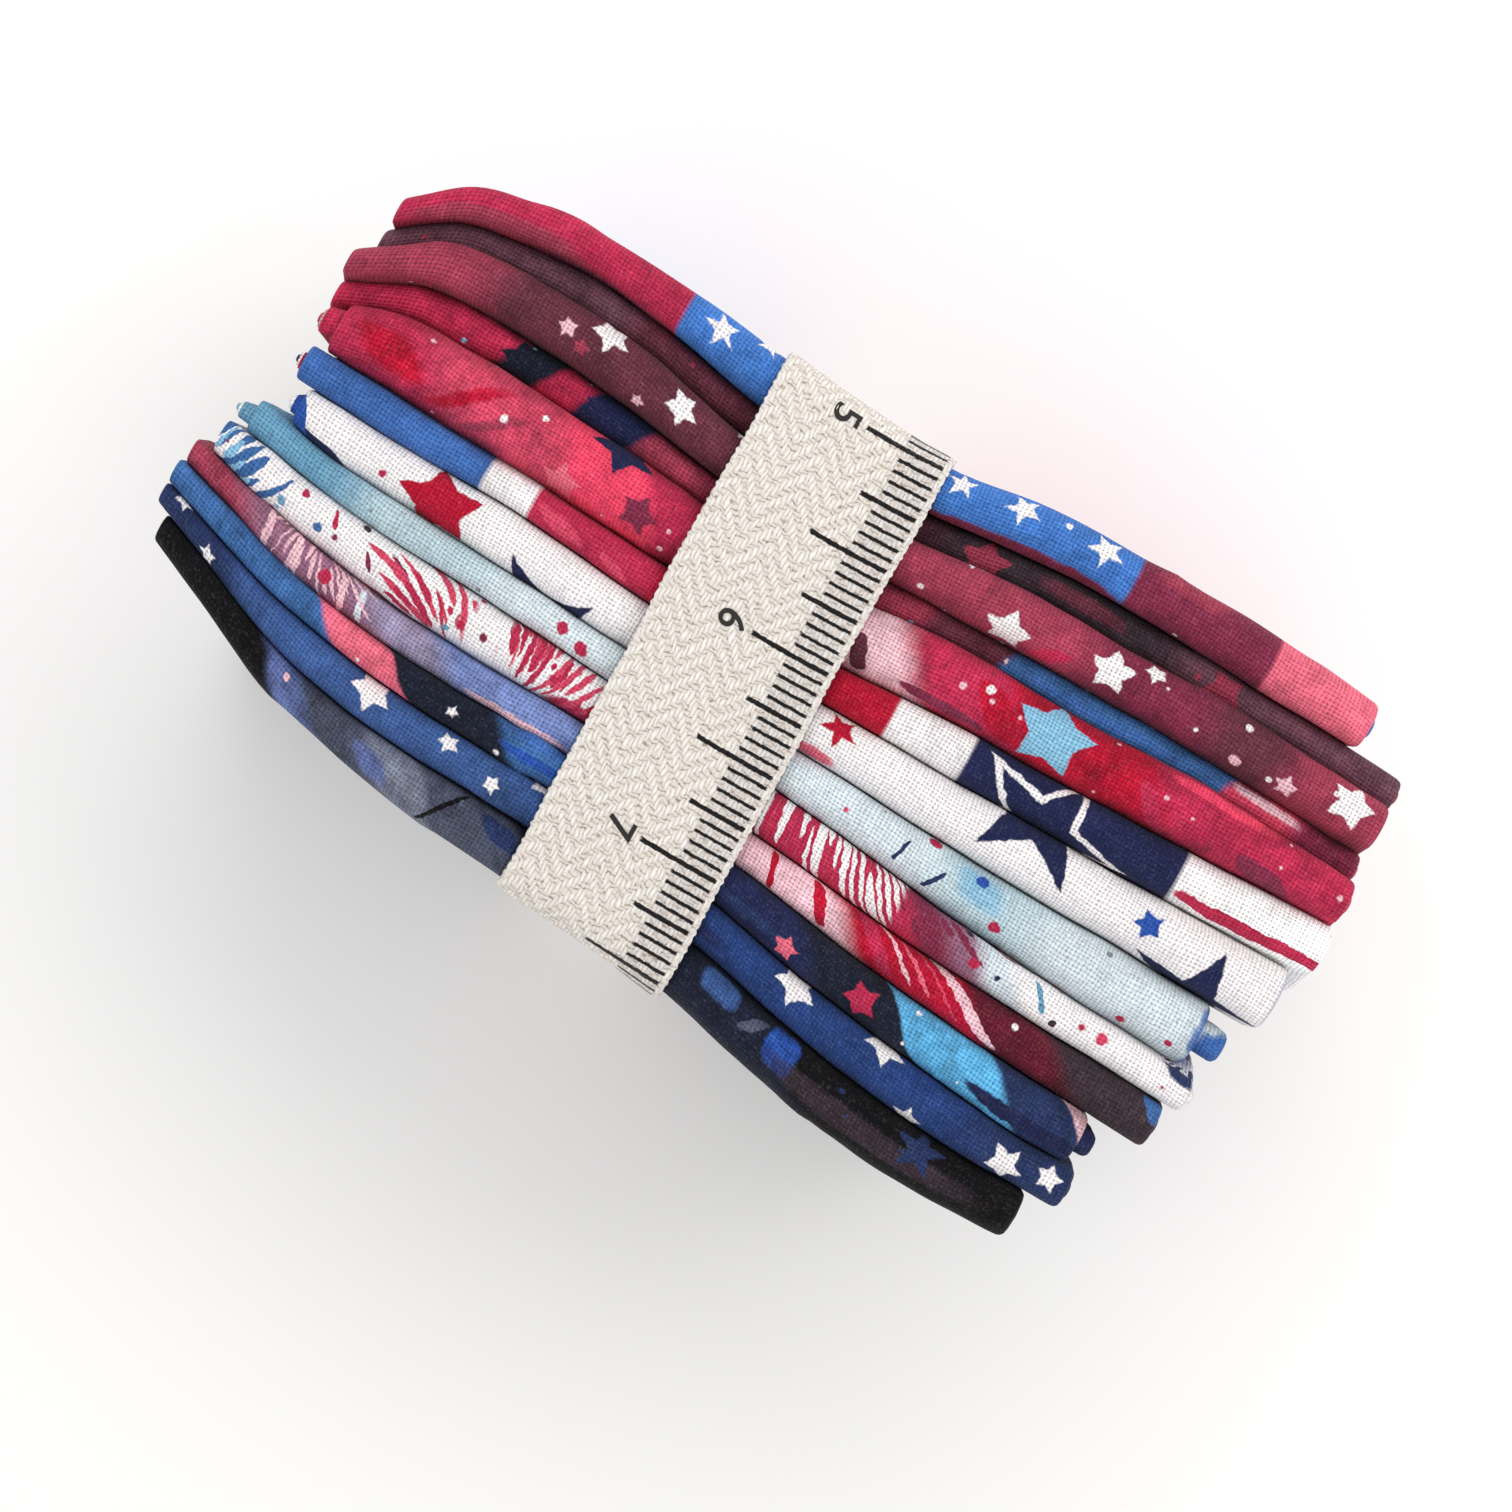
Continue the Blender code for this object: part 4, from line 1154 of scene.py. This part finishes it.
# Patches of other colour, from small strokes to bands: the centre on the level sheet, half the
# length along X, half the width across the cloth, the lean, the softness of the edge, and the dye.
PATCH_COLUMNS = ("quarter", "x", "y", "half_x", "half_w", "lean", "soft", "dye")
PATCHES = (
    (1, 18.5, -28.7, 13.4, 3.2, 0.0, 0.3, "maroon"), (1, -47.0, -33.5, 9.0, 1.4, 1.5, 0.8, "burgundy"),
    (1, -35.0, -31.9, 9.0, 1.0, 2.0, 0.8, "maroon"), (1, 38.0, -35.0, 4.0, 1.5, -0.8, 0.8, "burgundy"),
    (2, 28.0, -28.3, 5.0, 0.9, 0.5, 0.8, "wine"), (3, 27.0, -21.0, 1.4, 1.6, -1.0, 0.2, "crimson"),
    (4, 56.0, -19.0, 4.0, 0.6, 0.6, 0.8, "pink"), (4, 36.0, -18.4, 9.0, 0.5, 0.0, 0.9, "azure"),
    (5, 8.9, -11.6, 1.0, 2.2, 0.3, 0.2, "wine"), (5, 19.5, -10.9, 5.0, 0.8, 1.2, 0.2, "maroon"),
    (5, 25.5, -13.0, 2.2, 2.6, 0.8, 0.4, "scarlet"), (5, 59.0, -11.3, 3.0, 1.6, 0.9, 0.3, "maroon"),
    (5, 37.8, -12.6, 2.6, 2.4, -0.5, 0.5, "scarlet"), (5, -51.0, -15.5, 3.5, 2.0, 0.9, 0.8, "scarlet"),
    (5, -41.5, -15.0, 1.2, 3.0, -1.2, 1.2, "scarlet"), (5, -38.0, -13.5, 0.9, 2.4, -1.2, 1.2, "burgundy"),
    (5, 52.0, -16.5, 6.0, 1.0, 0.5, 0.8, "flame"), (5, 45.0, -12.0, 1.2, 2.6, 0.7, 0.5, "crimson"),
    (6, -26.0, -7.8, 2.4, 1.0, 1.4, 0.5, "rose"), (6, -19.0, -6.6, 1.4, 0.8, 1.2, 0.5, "rose"),
    (6, 61.8, -5.6, 10.4, 0.8, 0.0, 0.15, "crimson"),
    (7, -39.2, -4.4, 0.9, 0.7, 0.0, 0.8, "garnet"), (7, 9.5, 0.5, 2.8, 1.0, 0.0, 0.8, "coral"),
    (7, -54.6, -3.1, 4.6, 1.0, 1.0, 0.2, "navy"), (7, -57.2, -5.0, 1.4, 3.0, 0.5, 0.2, "royal"),
    (8, 23.4, 5.0, 0.22, 1.5, -0.3, 0.3, "slate"), (8, 28.0, 6.2, 0.3, 1.5, -0.6, 0.3, "slate"),
    (8, 33.0, 4.6, 2.6, 1.7, 0.3, 1.8, "haze"), (8, -57.0, 0.9, 7.0, 0.8, 0.0, 1.4, "denim"),
    (9, 44.3, 11.6, 0.4, 1.4, 0.7, 0.3, "teal"), (9, 46.8, 13.6, 0.35, 0.5, 0.0, 0.4, "charcoal"),
    (9, 41.0, 9.6, 1.6, 0.4, 0.4, 0.3, "ink"), (9, -47.6, 3.4, 0.3, 1.1, 0.3, 0.3, "crimson"),
    (9, -42.3, 5.8, 0.3, 0.9, 0.6, 0.3, "maroon"), (9, -37.0, 6.0, 0.6, 2.0, 1.6, 0.3, "maroon"),
    (9, -15.0, 9.2, 3.4, 1.2, -1.0, 0.6, "crimson"), (9, 61.6, 11.6, 1.6, 1.4, 0.6, 0.7, "slate"),
    (10, 12.2, 13.6, 0.4, 2.4, 0.25, 0.2, "scarlet"), (10, 18.4, 14.2, 0.8, 2.4, 0.5, 0.2, "scarlet"),
    (10, 25.5, 14.8, 1.2, 2.8, 1.1, 0.2, "crimson"), (10, 31.0, 15.3, 0.4, 2.0, 1.3, 0.25, "coral"),
    (10, 37.0, 15.9, 1.2, 3.2, 1.7, 0.3, "pink"), (10, 62.0, 16.6, 2.0, 1.5, 0.6, 0.4, "steel"),
    (10, 28.4, 14.8, 0.35, 2.4, 1.2, 0.3, "pink"), (10, 33.6, 15.4, 0.3, 2.6, 1.5, 0.3, "rose"),
    (10, -53.6, 7.6, 0.5, 2.0, 0.2, 0.4, "pink"), (10, -49.6, 8.6, 0.5, 2.0, 0.2, 0.4, "pink"),
    (10, -43.2, 9.9, 0.45, 2.0, 0.2, 0.4, "pink"), (10, -40.8, 10.3, 0.4, 2.0, 0.2, 0.4, "mist"),
    (10, -20.0, 13.0, 6.0, 0.6, 1.0, 0.9, "pink"),
    (11, -16.0, 16.0, 4.0, 0.5, 1.5, 0.6, "royal"), (11, -16.5, 14.2, 3.0, 0.6, 1.5, 0.8, "azure"),
    (11, 50.0, 24.6, 8.0, 0.9, 1.6, 0.3, "navy"), (11, 12.0, 19.0, 5.0, 0.7, 1.0, 0.8, "slate"),
    (12, 8.0, 25.8, 9.0, 1.4, 0.6, 0.9, "azure"), (12, 2.0, 22.0, 9.0, 1.0, 0.6, 0.9, "navy"),
    (13, 13.6, 27.4, 2.4, 1.6, 0.0, 0.7, "denim"), (13, 22.6, 30.2, 2.0, 2.4, 0.0, 0.5, "royal"),
    (13, 35.0, 34.0, 12.0, 1.2, 0.3, 1.6, "charcoal"), (13, -15.5, 24.6, 2.2, 1.3, 0.8, 0.5, "slate"),
    (13, -31.6, 24.8, 2.0, 1.4, 0.8, 1.2, "dusk"),
    (13, 18.6, 29.4, 0.8, 1.3, -0.9, 0.5, "smoke"), (13, -22.5, 25.0, 0.35, 3.0, -0.7, 0.3, "black"),
)

# Bursts of brush strokes: the centre, where the strokes begin and end, how many, their width, the
# side that they fly to (0 both, -1 left, 1 right), and the dye.
BURST_COLUMNS = ("quarter", "x", "y", "inner", "outer", "count", "width", "side", "dye")
BURSTS = (
    (9, -29.5, 12.5, 3.5, 17.0, 44, 0.40, -1, "rose"), (9, -30.5, 11.5, 3.0, 12.0, 40, 0.34, -1, "crimson"),
    (9, -25.5, 14.0, 5.0, 20.0, 62, 0.44, 1, "crimson"), (9, -24.0, 12.0, 4.0, 18.0, 48, 0.36, 1, "rose"),
    (9, -71.0, 6.0, 6.0, 20.0, 58, 0.50, 1, "steel"), (9, -71.0, 7.5, 6.0, 18.0, 46, 0.42, 1, "haze"),
    (9, 26.0, -8.0, 11.0, 33.0, 96, 0.55, -1, "white"), (9, 64.0, 6.0, 1.5, 8.0, 40, 0.30, 0, "slate"),
    (9, 26.0, -6.0, 14.0, 22.0, 84, 0.34, 1, "maroon"), (10, -47.0, 2.0, 4.0, 13.0, 60, 0.22, 0, "pink"),
)

# The height of a printed row, how far the blocks run each way from the middle, how uneven the drawn
# edges are, and the sizes of the cells that hold one star or dot each.
ROW_HEIGHT = 57.0
BLOCK_REACH = 70.0
DRAWN_WAVER = 0.7
SHADING_SCALE = 2.6
STAR_CELL = 9.0
DOT_CELL = 3.6


def across_cloth(quarter, x, y):
    """How far across the cloth, from the top of the fold, a place on the level sheet lies."""
    place = np.array([[x]])
    back = seam(quarter - 1, place, FOLD_LEVEL) - GAP / 2
    front = seam(quarter, place, FOLD_LEVEL) + GAP / 2
    centre = float((back + front)[0, 0] / 2)
    half = float((back - front)[0, 0] / 2) * 1.02
    share = np.clip((centre + y) / half, -1.0, 1.0)
    beyond = centre + y - share * half
    return half * math.asin(share) + beyond


def blocks_colour(g, quarter, x):
    """The background blocks as one ramp along X that runs back and forth."""
    node = g.node("ShaderNodeValToRGB")
    ramp = node.color_ramp
    ramp.interpolation = "EASE"
    stops = []
    for number, (end, dye, softness) in enumerate(BLOCKS[quarter]):
        stops.append((end - softness / 2, dye))
        if number + 1 < len(BLOCKS[quarter]):
            stops.append((end + softness / 2, BLOCKS[quarter][number + 1][1]))
    for number, (place, dye) in enumerate(stops):
        share = min(max((place + BLOCK_REACH) / (2 * BLOCK_REACH), 0.0), 1.0)
        element = ramp.elements[0] if number == 0 else ramp.elements.new(share)
        element.position = share
        element.color = DYES[dye]
    ramp.elements.remove(ramp.elements[-1])
    wrapped = g.math("PINGPONG", x + BLOCK_REACH, 2 * BLOCK_REACH)
    return g.feed(node, (wrapped / (2 * BLOCK_REACH),), "Color")


def quarter_print(g, quarter, place):
    """The printed colour of one quarter's cloth."""
    paint = dict(zip(PAINT_COLUMNS, PAINTS[quarter - 1]))
    x, w, _ = g.parts(place)
    place_in_rows = w / ROW_HEIGHT
    row = g.math("ROUND", place_in_rows)
    other_rows = g.math("MINIMUM", abs(row), 1.0)
    if not paint["sharp_rows"]:
        turn = g.math("SINE", place_in_rows * (2 * math.pi))
        row = place_in_rows - turn * (1 / (2 * math.pi))
    waver = (g.noise(place, 0.22, 3.0) - 0.5) * paint["waver"]
    shifted = x + row * paint["row_shift"]
    colour = blocks_colour(g, quarter, shifted + (waver + w * paint["lean"]))
    drawn = g.join(
        x + (g.noise(place, 0.9, 2.0) - 0.5) * DRAWN_WAVER,
        w + (g.noise(g.shifted(place, (31.0, 17.0, 0.0)), 0.9, 2.0) - 0.5) * DRAWN_WAVER)

    def shape(row_values, group, **settings):
        return g.use(
            group, Place=drawn, X=row_values["x"],
            W=across_cloth(quarter, row_values["x"], row_values["y"]), **settings)

    for patch in rows_of(PATCHES, PATCH_COLUMNS, quarter):
        settings = {"Half X": patch["half_x"], "Half W": patch["half_w"], "Lean": patch["lean"]}
        mask = shape(patch, PATCH, Soft=patch["soft"], **settings)
        colour = g.mix(mask, colour, DYES[patch["dye"]])
    seeded = g.shifted(place, (quarter * 71.0, quarter * 37.0, 0.0))
    wash = g.noise(seeded, 0.16, 4.0, 0.6, 0.8) - 0.5
    pools = g.noise(seeded, 0.55, 3.0, 0.6, 0.5) - 0.5
    level = 1.0 + (wash + pools * 0.7) * (paint["shading"] * SHADING_SCALE)
    colour = g.shaded(colour, level)
    for burst in rows_of(BURSTS, BURST_COLUMNS, quarter):
        mask = shape(burst, BURST, Inner=burst["inner"], Outer=burst["outer"],
                     Count=float(burst["count"]), Width=burst["width"], Side=float(burst["side"]),
                     Seed=burst["x"])
        colour = g.mix(mask, colour, DYES[burst["dye"]])
    scatter_dye = DYES[paint["scatter_dye"]]
    if paint["stars"]:
        stars = g.use(STAR_SCATTER, Place=seeded, Cell=STAR_CELL, Share=paint["stars"], Seed=2.0)
        colour = g.mix(stars * other_rows, colour, scatter_dye)
    if paint["dots"]:
        dots = g.use(DOT_SCATTER, Place=seeded, Cell=DOT_CELL, Share=paint["dots"], Seed=5.0)
        colour = g.mix(dots, colour, scatter_dye)
    for drop in rows_of(DROPS, DROP_COLUMNS, quarter):
        colour = g.mix(shape(drop, DOT, Radius=drop["radius"]), colour, DYES[drop["dye"]])
    for star in rows_of(STARS, STAR_COLUMNS, quarter):
        mask = shape(star, STAR_KINDS[star["kind"]], Radius=star["radius"], Turn=math.radians(star["turn"]))
        colour = g.mix(mask, colour, DYES[star["dye"]])
    return colour


def new_material(name, constants):
    """An empty material, its graph, and its shader with some inputs set to constants."""
    material = bpy.data.materials.new(name)
    material.use_nodes = True
    material.node_tree.nodes.clear()
    g = Graph(material.node_tree)
    shader = g.node("ShaderNodeBsdfPrincipled")
    for label, value in constants.items():
        shader.inputs[label].default_value = value
    output = g.node("ShaderNodeOutputMaterial")
    g.put(output.inputs["Surface"], Term(g, shader.outputs[0]))
    return material, g, shader


def add_bump(g, shader, height, depth):
    """Relief from a height, where a height of 1 stands for the depth in millimetres."""
    bump = {"Strength": 1.0, "Distance": depth * MM, "Height": height}
    g.put(shader.inputs["Normal"], g.feed(g.node("ShaderNodeBump"), bump))


WEAVE_DEPTH = 0.16
DENT_DEPTH = 0.6
GAP_SHADE = 0.50
THREAD_SHADE = 0.42
SHADE_TOP = 1.10
STITCH_WHITE = 0.03
REVERSE_PALENESS = 0.5
COTTON_ROUGHNESS = 0.92
THREAD_POLISH = 0.12
WARM_WHITE = linear("f2eee8")
COTTON_CONSTANTS = {"Specular IOR Level": 0.14, "Sheen Weight": 0.04, "Sheen Roughness": 0.45}


def cotton_material(quarter):
    material, g, shader = new_material(f"printed_cotton_{quarter:02d}", COTTON_CONSTANTS)
    place = g.cloth_place()
    colour = quarter_print(g, quarter, place)
    weave = g.use(WEAVE, Place=place)
    threads = g.use(THREADS, Place=place)
    paler = g.mix(REVERSE_PALENESS, colour, WARM_WHITE)
    colour = g.mix(g.step(g.reverse_side(), 0.4, 0.6), colour, paler)
    colour = g.mix(g.step(threads, 0.05, 0.55) * STITCH_WHITE, colour, WARM_WHITE)
    colour = g.shaded(colour, SHADE_TOP - GAP_SHADE + (weave * GAP_SHADE + threads * THREAD_SHADE))
    g.put(shader.inputs["Base Color"], colour)
    g.put(shader.inputs["Roughness"], COTTON_ROUGHNESS - weave * THREAD_POLISH)
    dents = g.noise(place, 0.16, 3.0, 0.55)
    add_bump(g, shader, weave * WEAVE_DEPTH + dents * DENT_DEPTH, 1.0)
    return material


for number, piece in enumerate(quarters, start=1):
    piece.data.materials.append(cotton_material(number))


# The tape's cloth and print.

TICK_PITCH = 1.27
TICKS_EACH_NUMBER = 20
NUMBER_PITCH = TICK_PITCH * TICKS_EACH_NUMBER
NUMBER_SIX_AT = -7.9
TICK_RIGHT = 7.4
TICK_SHORT = 2.6
TICK_FIFTH = 0.6
TICK_LONG = -2.0
TICK_THICKNESS = 0.40
WARP_PITCH = 0.47
WEFT_PITCH = 0.56
CHEVRON_WARPS = 7.0
TAPE_DEPTH = 0.24
SELVEDGE_LEFT = (TAPE_LEFT + 0.7, TAPE_LEFT + 0.4)
SELVEDGE_RIGHT = (7.5, 7.8)
TAPE_THREADS = (linear("fdf3e9"), linear("fffefb"))
# Painted shade in the weave: the colour of the gaps between the tape's threads, and a darker one for the
# pits at their corners.
TAPE_GAP_SHADE = linear("c8b7a7")
TAPE_PIT_SHADE = linear("8a7a6c")
PIT_SHADE_STRENGTH = 0.75
TICK_INK = linear("0a0506")
INK_HAZE = linear("a0959b")
HAZE_STRENGTH = 0.24
SELVEDGE_STRENGTH = 0.5
TICK_WAVER = 0.22
TICK_RAGGEDNESS = 0.42
FIFTH_EXTRA = 0.08
TAPE_ROUGHNESS = 0.95
TAPE_POLISH = 0.10
TAPE_CONSTANTS = {"Specular IOR Level": 0.15, "Sheen Weight": 0.2, "Sheen Roughness": 0.5}


def chevron_group():
    """The height of a coarse herringbone twill: warps float over two wefts and under two, one step
    later on each warp, and the steps turn back at each column."""
    tree, g, given, result = new_group("chevron_weave", {"Place": None})
    x, s, _ = g.parts(given["Place"])
    bent_x = x + g.noise(g.join(x, s * 0.6), 1.3, 2.0) * 0.62
    bent_s = s + g.noise(given["Place"], 0.8, 2.0) * 1.5
    warp = (bent_x + 100.0) / WARP_PITCH
    weft = (bent_s + 400.0) / WEFT_PITCH
    steps = g.math("PINGPONG", g.math("FLOOR", warp) + 0.5, CHEVRON_WARPS)
    float_at = g.math("SINE", (weft + steps) * (math.pi / 2))
    warp_round = abs(g.math("SINE", warp * math.pi))
    weft_round = abs(g.math("SINE", weft * math.pi))
    long_float = g.math("MAXIMUM", float_at + 0.4, 0.0) / 1.4
    over = long_float ** 0.35 * warp_round ** 0.5
    under = weft_round ** 0.5 * (0.42 + warp_round * 0.28)
    fibre = (g.noise(g.join(x * 2.6, s), 4.0, 3.0, 0.75) - 0.5) * 0.75
    g.put(result, g.math("ADD", g.math("MAXIMUM", over, under), fibre, clamp=True))
    return tree


CHEVRON = chevron_group()


def tape_material():
    material, g, shader = new_material("ecru_twill_tape", TAPE_CONSTANTS)
    place = g.cloth_place()
    x, s, _ = g.parts(place)
    height = g.use(CHEVRON, Place=place)
    tint = g.mix(g.noise(place, 0.9, 3.0), *TAPE_THREADS)
    # Painted shade: the colour darkens towards the gap colour where the weave lies low, and darker still in
    # the pits at the weave's corners.
    colour = g.mix(height ** 0.75, TAPE_GAP_SHADE, tint)
    pit_shade = g.step(height, 0.55, 0.15) * g.step(g.noise(place, 1.9, 1.0), 0.48, 0.62)
    colour = g.mix(pit_shade * PIT_SHADE_STRENGTH, colour, TAPE_PIT_SHADE)
    selvedge = g.math("MAXIMUM", g.step(x, *SELVEDGE_LEFT), g.step(x, *SELVEDGE_RIGHT))
    colour = g.mix(selvedge * SELVEDGE_STRENGTH, colour, tint)
    tick = (s - (NUMBER_SIX_AT - 200 * TICK_PITCH)) / TICK_PITCH
    ragged = (g.noise(place, 2.8, 3.0, 0.75) - 0.5) * 0.9
    nearest = g.math("ROUND", tick)
    fifth = g.math("LESS_THAN", g.math("MODULO", nearest + 0.1, 5.0), 0.5)
    tenth = g.math("LESS_THAN", g.math("MODULO", nearest + 0.1, 10.0), 0.5)
    start = TICK_SHORT - (fifth * (TICK_SHORT - TICK_FIFTH) + tenth * (TICK_FIFTH - TICK_LONG))
    off_tick = abs((tick - nearest) * TICK_PITCH + (g.noise(place, 0.9) - 0.5) * TICK_WAVER)
    half = TICK_THICKNESS / 2 + fifth * FIFTH_EXTRA + ragged * TICK_RAGGEDNESS
    bar = g.step(half - off_tick, -0.04, 0.04)
    inside = g.step(x + ragged - start, -0.1, 0.1) * g.step(TICK_RIGHT - (x + ragged), -0.1, 0.1)
    haze = g.step(x, 2.0, 3.0) * g.step(x, 7.9, 7.0)
    colour = g.mix(haze * HAZE_STRENGTH, colour, INK_HAZE)
    printed_side = g.step(g.reverse_side(), 0.6, 0.4)
    colour = g.mix(bar * inside * printed_side, colour, TICK_INK)
    g.put(shader.inputs["Base Color"], colour)
    g.put(shader.inputs["Roughness"], TAPE_ROUGHNESS - height * TAPE_POLISH)
    add_bump(g, shader, height, TAPE_DEPTH)
    return material


tape.data.materials.append(tape_material())


# The tape's numbers: thin flat figures on its face, turned to read across it.

FIGURE_HEIGHT = 3.3
FIGURE_THICKNESS = 0.06
FIGURE_X = -4.7
FIGURE_WEIGHT = 0.05
FIGURE_ROOM = 3.0
FIGURE_LIFT = 0.02
SIZE_FOR_HEIGHT = 1.38


def tape_point(x, s, height):
    """A place on the tape's printed face, at a height above it."""
    across = tape_cloth[:, 0, 0]
    column = int(np.clip(np.searchsorted(across, x) - 1, 0, len(across) - 2))
    along = tape_cloth[column, :, 1]
    step = int(np.clip(np.searchsorted(along, s) - 1, 0, len(along) - 2))
    share = (s - along[step]) / (along[step + 1] - along[step])
    side = (x - across[column]) / (across[column + 1] - across[column])
    near = tape_face[column, step] * (1 - side) + tape_face[column + 1, step] * side
    far = tape_face[column, step + 1] * (1 - side) + tape_face[column + 1, step + 1] * side
    tangent = (far - near) / np.linalg.norm(far - near)
    normal = np.array([0.0, tangent[2], -tangent[1]])
    return near * (1 - share) + far * share + normal * height


def ink_material():
    material, g, shader = new_material("printed_ink", {})
    grain = g.noise(g.object_place(), 2600.0, 2.0)
    g.put(shader.inputs["Base Color"], g.mix(grain, linear("0e0c0b"), linear("2a2522")))
    g.put(shader.inputs["Roughness"], 0.7 + grain * 0.2)
    add_bump(g, shader, grain, 0.03)
    return material


def build_figure(number, ink):
    curve = bpy.data.curves.new(f"figure_{number}", "FONT")
    curve.body = str(number)
    curve.size = FIGURE_HEIGHT * SIZE_FOR_HEIGHT
    curve.align_x = "CENTER"
    curve.align_y = "CENTER"
    curve.extrude = FIGURE_THICKNESS
    curve.offset = FIGURE_WEIGHT
    curve.resolution_u = 4
    text = new_object(f"figure_outline_{number}", curve)
    bpy.context.view_layer.update()
    mesh = bpy.data.meshes.new_from_object(text.evaluated_get(bpy.context.evaluated_depsgraph_get()))
    bpy.data.objects.remove(text)
    middle = NUMBER_SIX_AT + (number - 6) * NUMBER_PITCH
    for vertex in mesh.vertices:
        figure_x, figure_y, height = vertex.co
        point = tape_point(FIGURE_X + figure_y, middle + figure_x, FIGURE_LIFT + height)
        vertex.co = to_row(point)
    mesh.name = f"tape_figure_{number:02d}"
    piece = new_object(mesh.name, mesh)
    mesh.materials.clear()
    mesh.materials.append(ink)
    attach(piece, "root")


tape_ink = ink_material()
lowest_number = math.ceil((tape_cloth[0, 0, 1] - NUMBER_SIX_AT + FIGURE_ROOM) / NUMBER_PITCH) + 6
highest_number = math.floor((tape_cloth[0, -1, 1] - NUMBER_SIX_AT - FIGURE_ROOM) / NUMBER_PITCH) + 6
for number in range(lowest_number, highest_number + 1):
    build_figure(number, tape_ink)


# Floor, light and camera.

FLOOR_SIZE = 14.0
CAMERA_PLACE = (4.66, -3.72)
CAMERA_DISTANCE = 0.45
CAMERA_TURN = 29.0
VIEW_WIDTH = 0.1635
LIGHT_SIZE = 1.0
LIGHT_AIM = (0.0, 0.0, 0.06)
KEY_PLACE = (0.35, 0.45, 0.95)
FILL_PLACE = (-0.5, -0.6, 0.7)


def build_floor():
    side = FLOOR_SIZE / 2
    corners = [(-side, -side, 0.0), (side, -side, 0.0), (side, side, 0.0), (-side, side, 0.0)]
    floor = new_mesh_object("floor", corners, [(0, 1, 2, 3)])
    material, g, shader = new_material("pale_floor", {"Roughness": 0.9})
    tint = g.mix(g.noise(g.object_place(), 3.0), linear("f4f3f2"), linear("f8f7f6"))
    g.put(shader.inputs["Base Color"], tint)
    floor.data.materials.append(material)


def add_area_light(name, place, energy, colour):
    light = bpy.data.lights.new(name, "AREA")
    light.shape = "DISK"
    light.size = LIGHT_SIZE
    light.energy = energy
    light.color = colour
    lamp = new_object(name, light)
    lamp.location = place
    x, y, z = np.array(LIGHT_AIM) - np.array(place)
    lamp.rotation_euler = (math.atan2(math.hypot(x, y), -z), 0.0, math.atan2(x, -y))


def add_world():
    world = bpy.data.worlds.new("studio")
    world.use_nodes = True
    background = world.node_tree.nodes["Background"]
    background.inputs["Color"].default_value = (1.0, 1.0, 1.0, 1.0)
    background.inputs["Strength"].default_value = 1.0
    bpy.context.scene.world = world


def add_camera():
    camera = bpy.data.cameras.new("camera")
    camera.sensor_fit = "AUTO"
    camera.angle = 2 * math.atan(VIEW_WIDTH / 2 / CAMERA_DISTANCE)
    holder = new_object("camera", camera)
    x, y, _ = to_row(np.array([*CAMERA_PLACE, 0.0]))
    holder.location = (x, y, STACK_HEIGHT * MM + CAMERA_DISTANCE)
    holder.rotation_euler = (0.0, 0.0, math.radians(CAMERA_TURN))
    bpy.context.scene.camera = holder


build_floor()
turn = math.radians(CAMERA_TURN)
right, up, height = KEY_PLACE
key = (math.cos(turn) * right - math.sin(turn) * up, math.sin(turn) * right + math.cos(turn) * up, height)
add_area_light("key", key, 6.5, (1.0, 0.99, 0.975))
add_area_light("fill", FILL_PLACE, 6.0, (0.98, 0.985, 1.0))
add_world()
add_camera()
bpy.context.scene.view_settings.view_transform = "Standard"
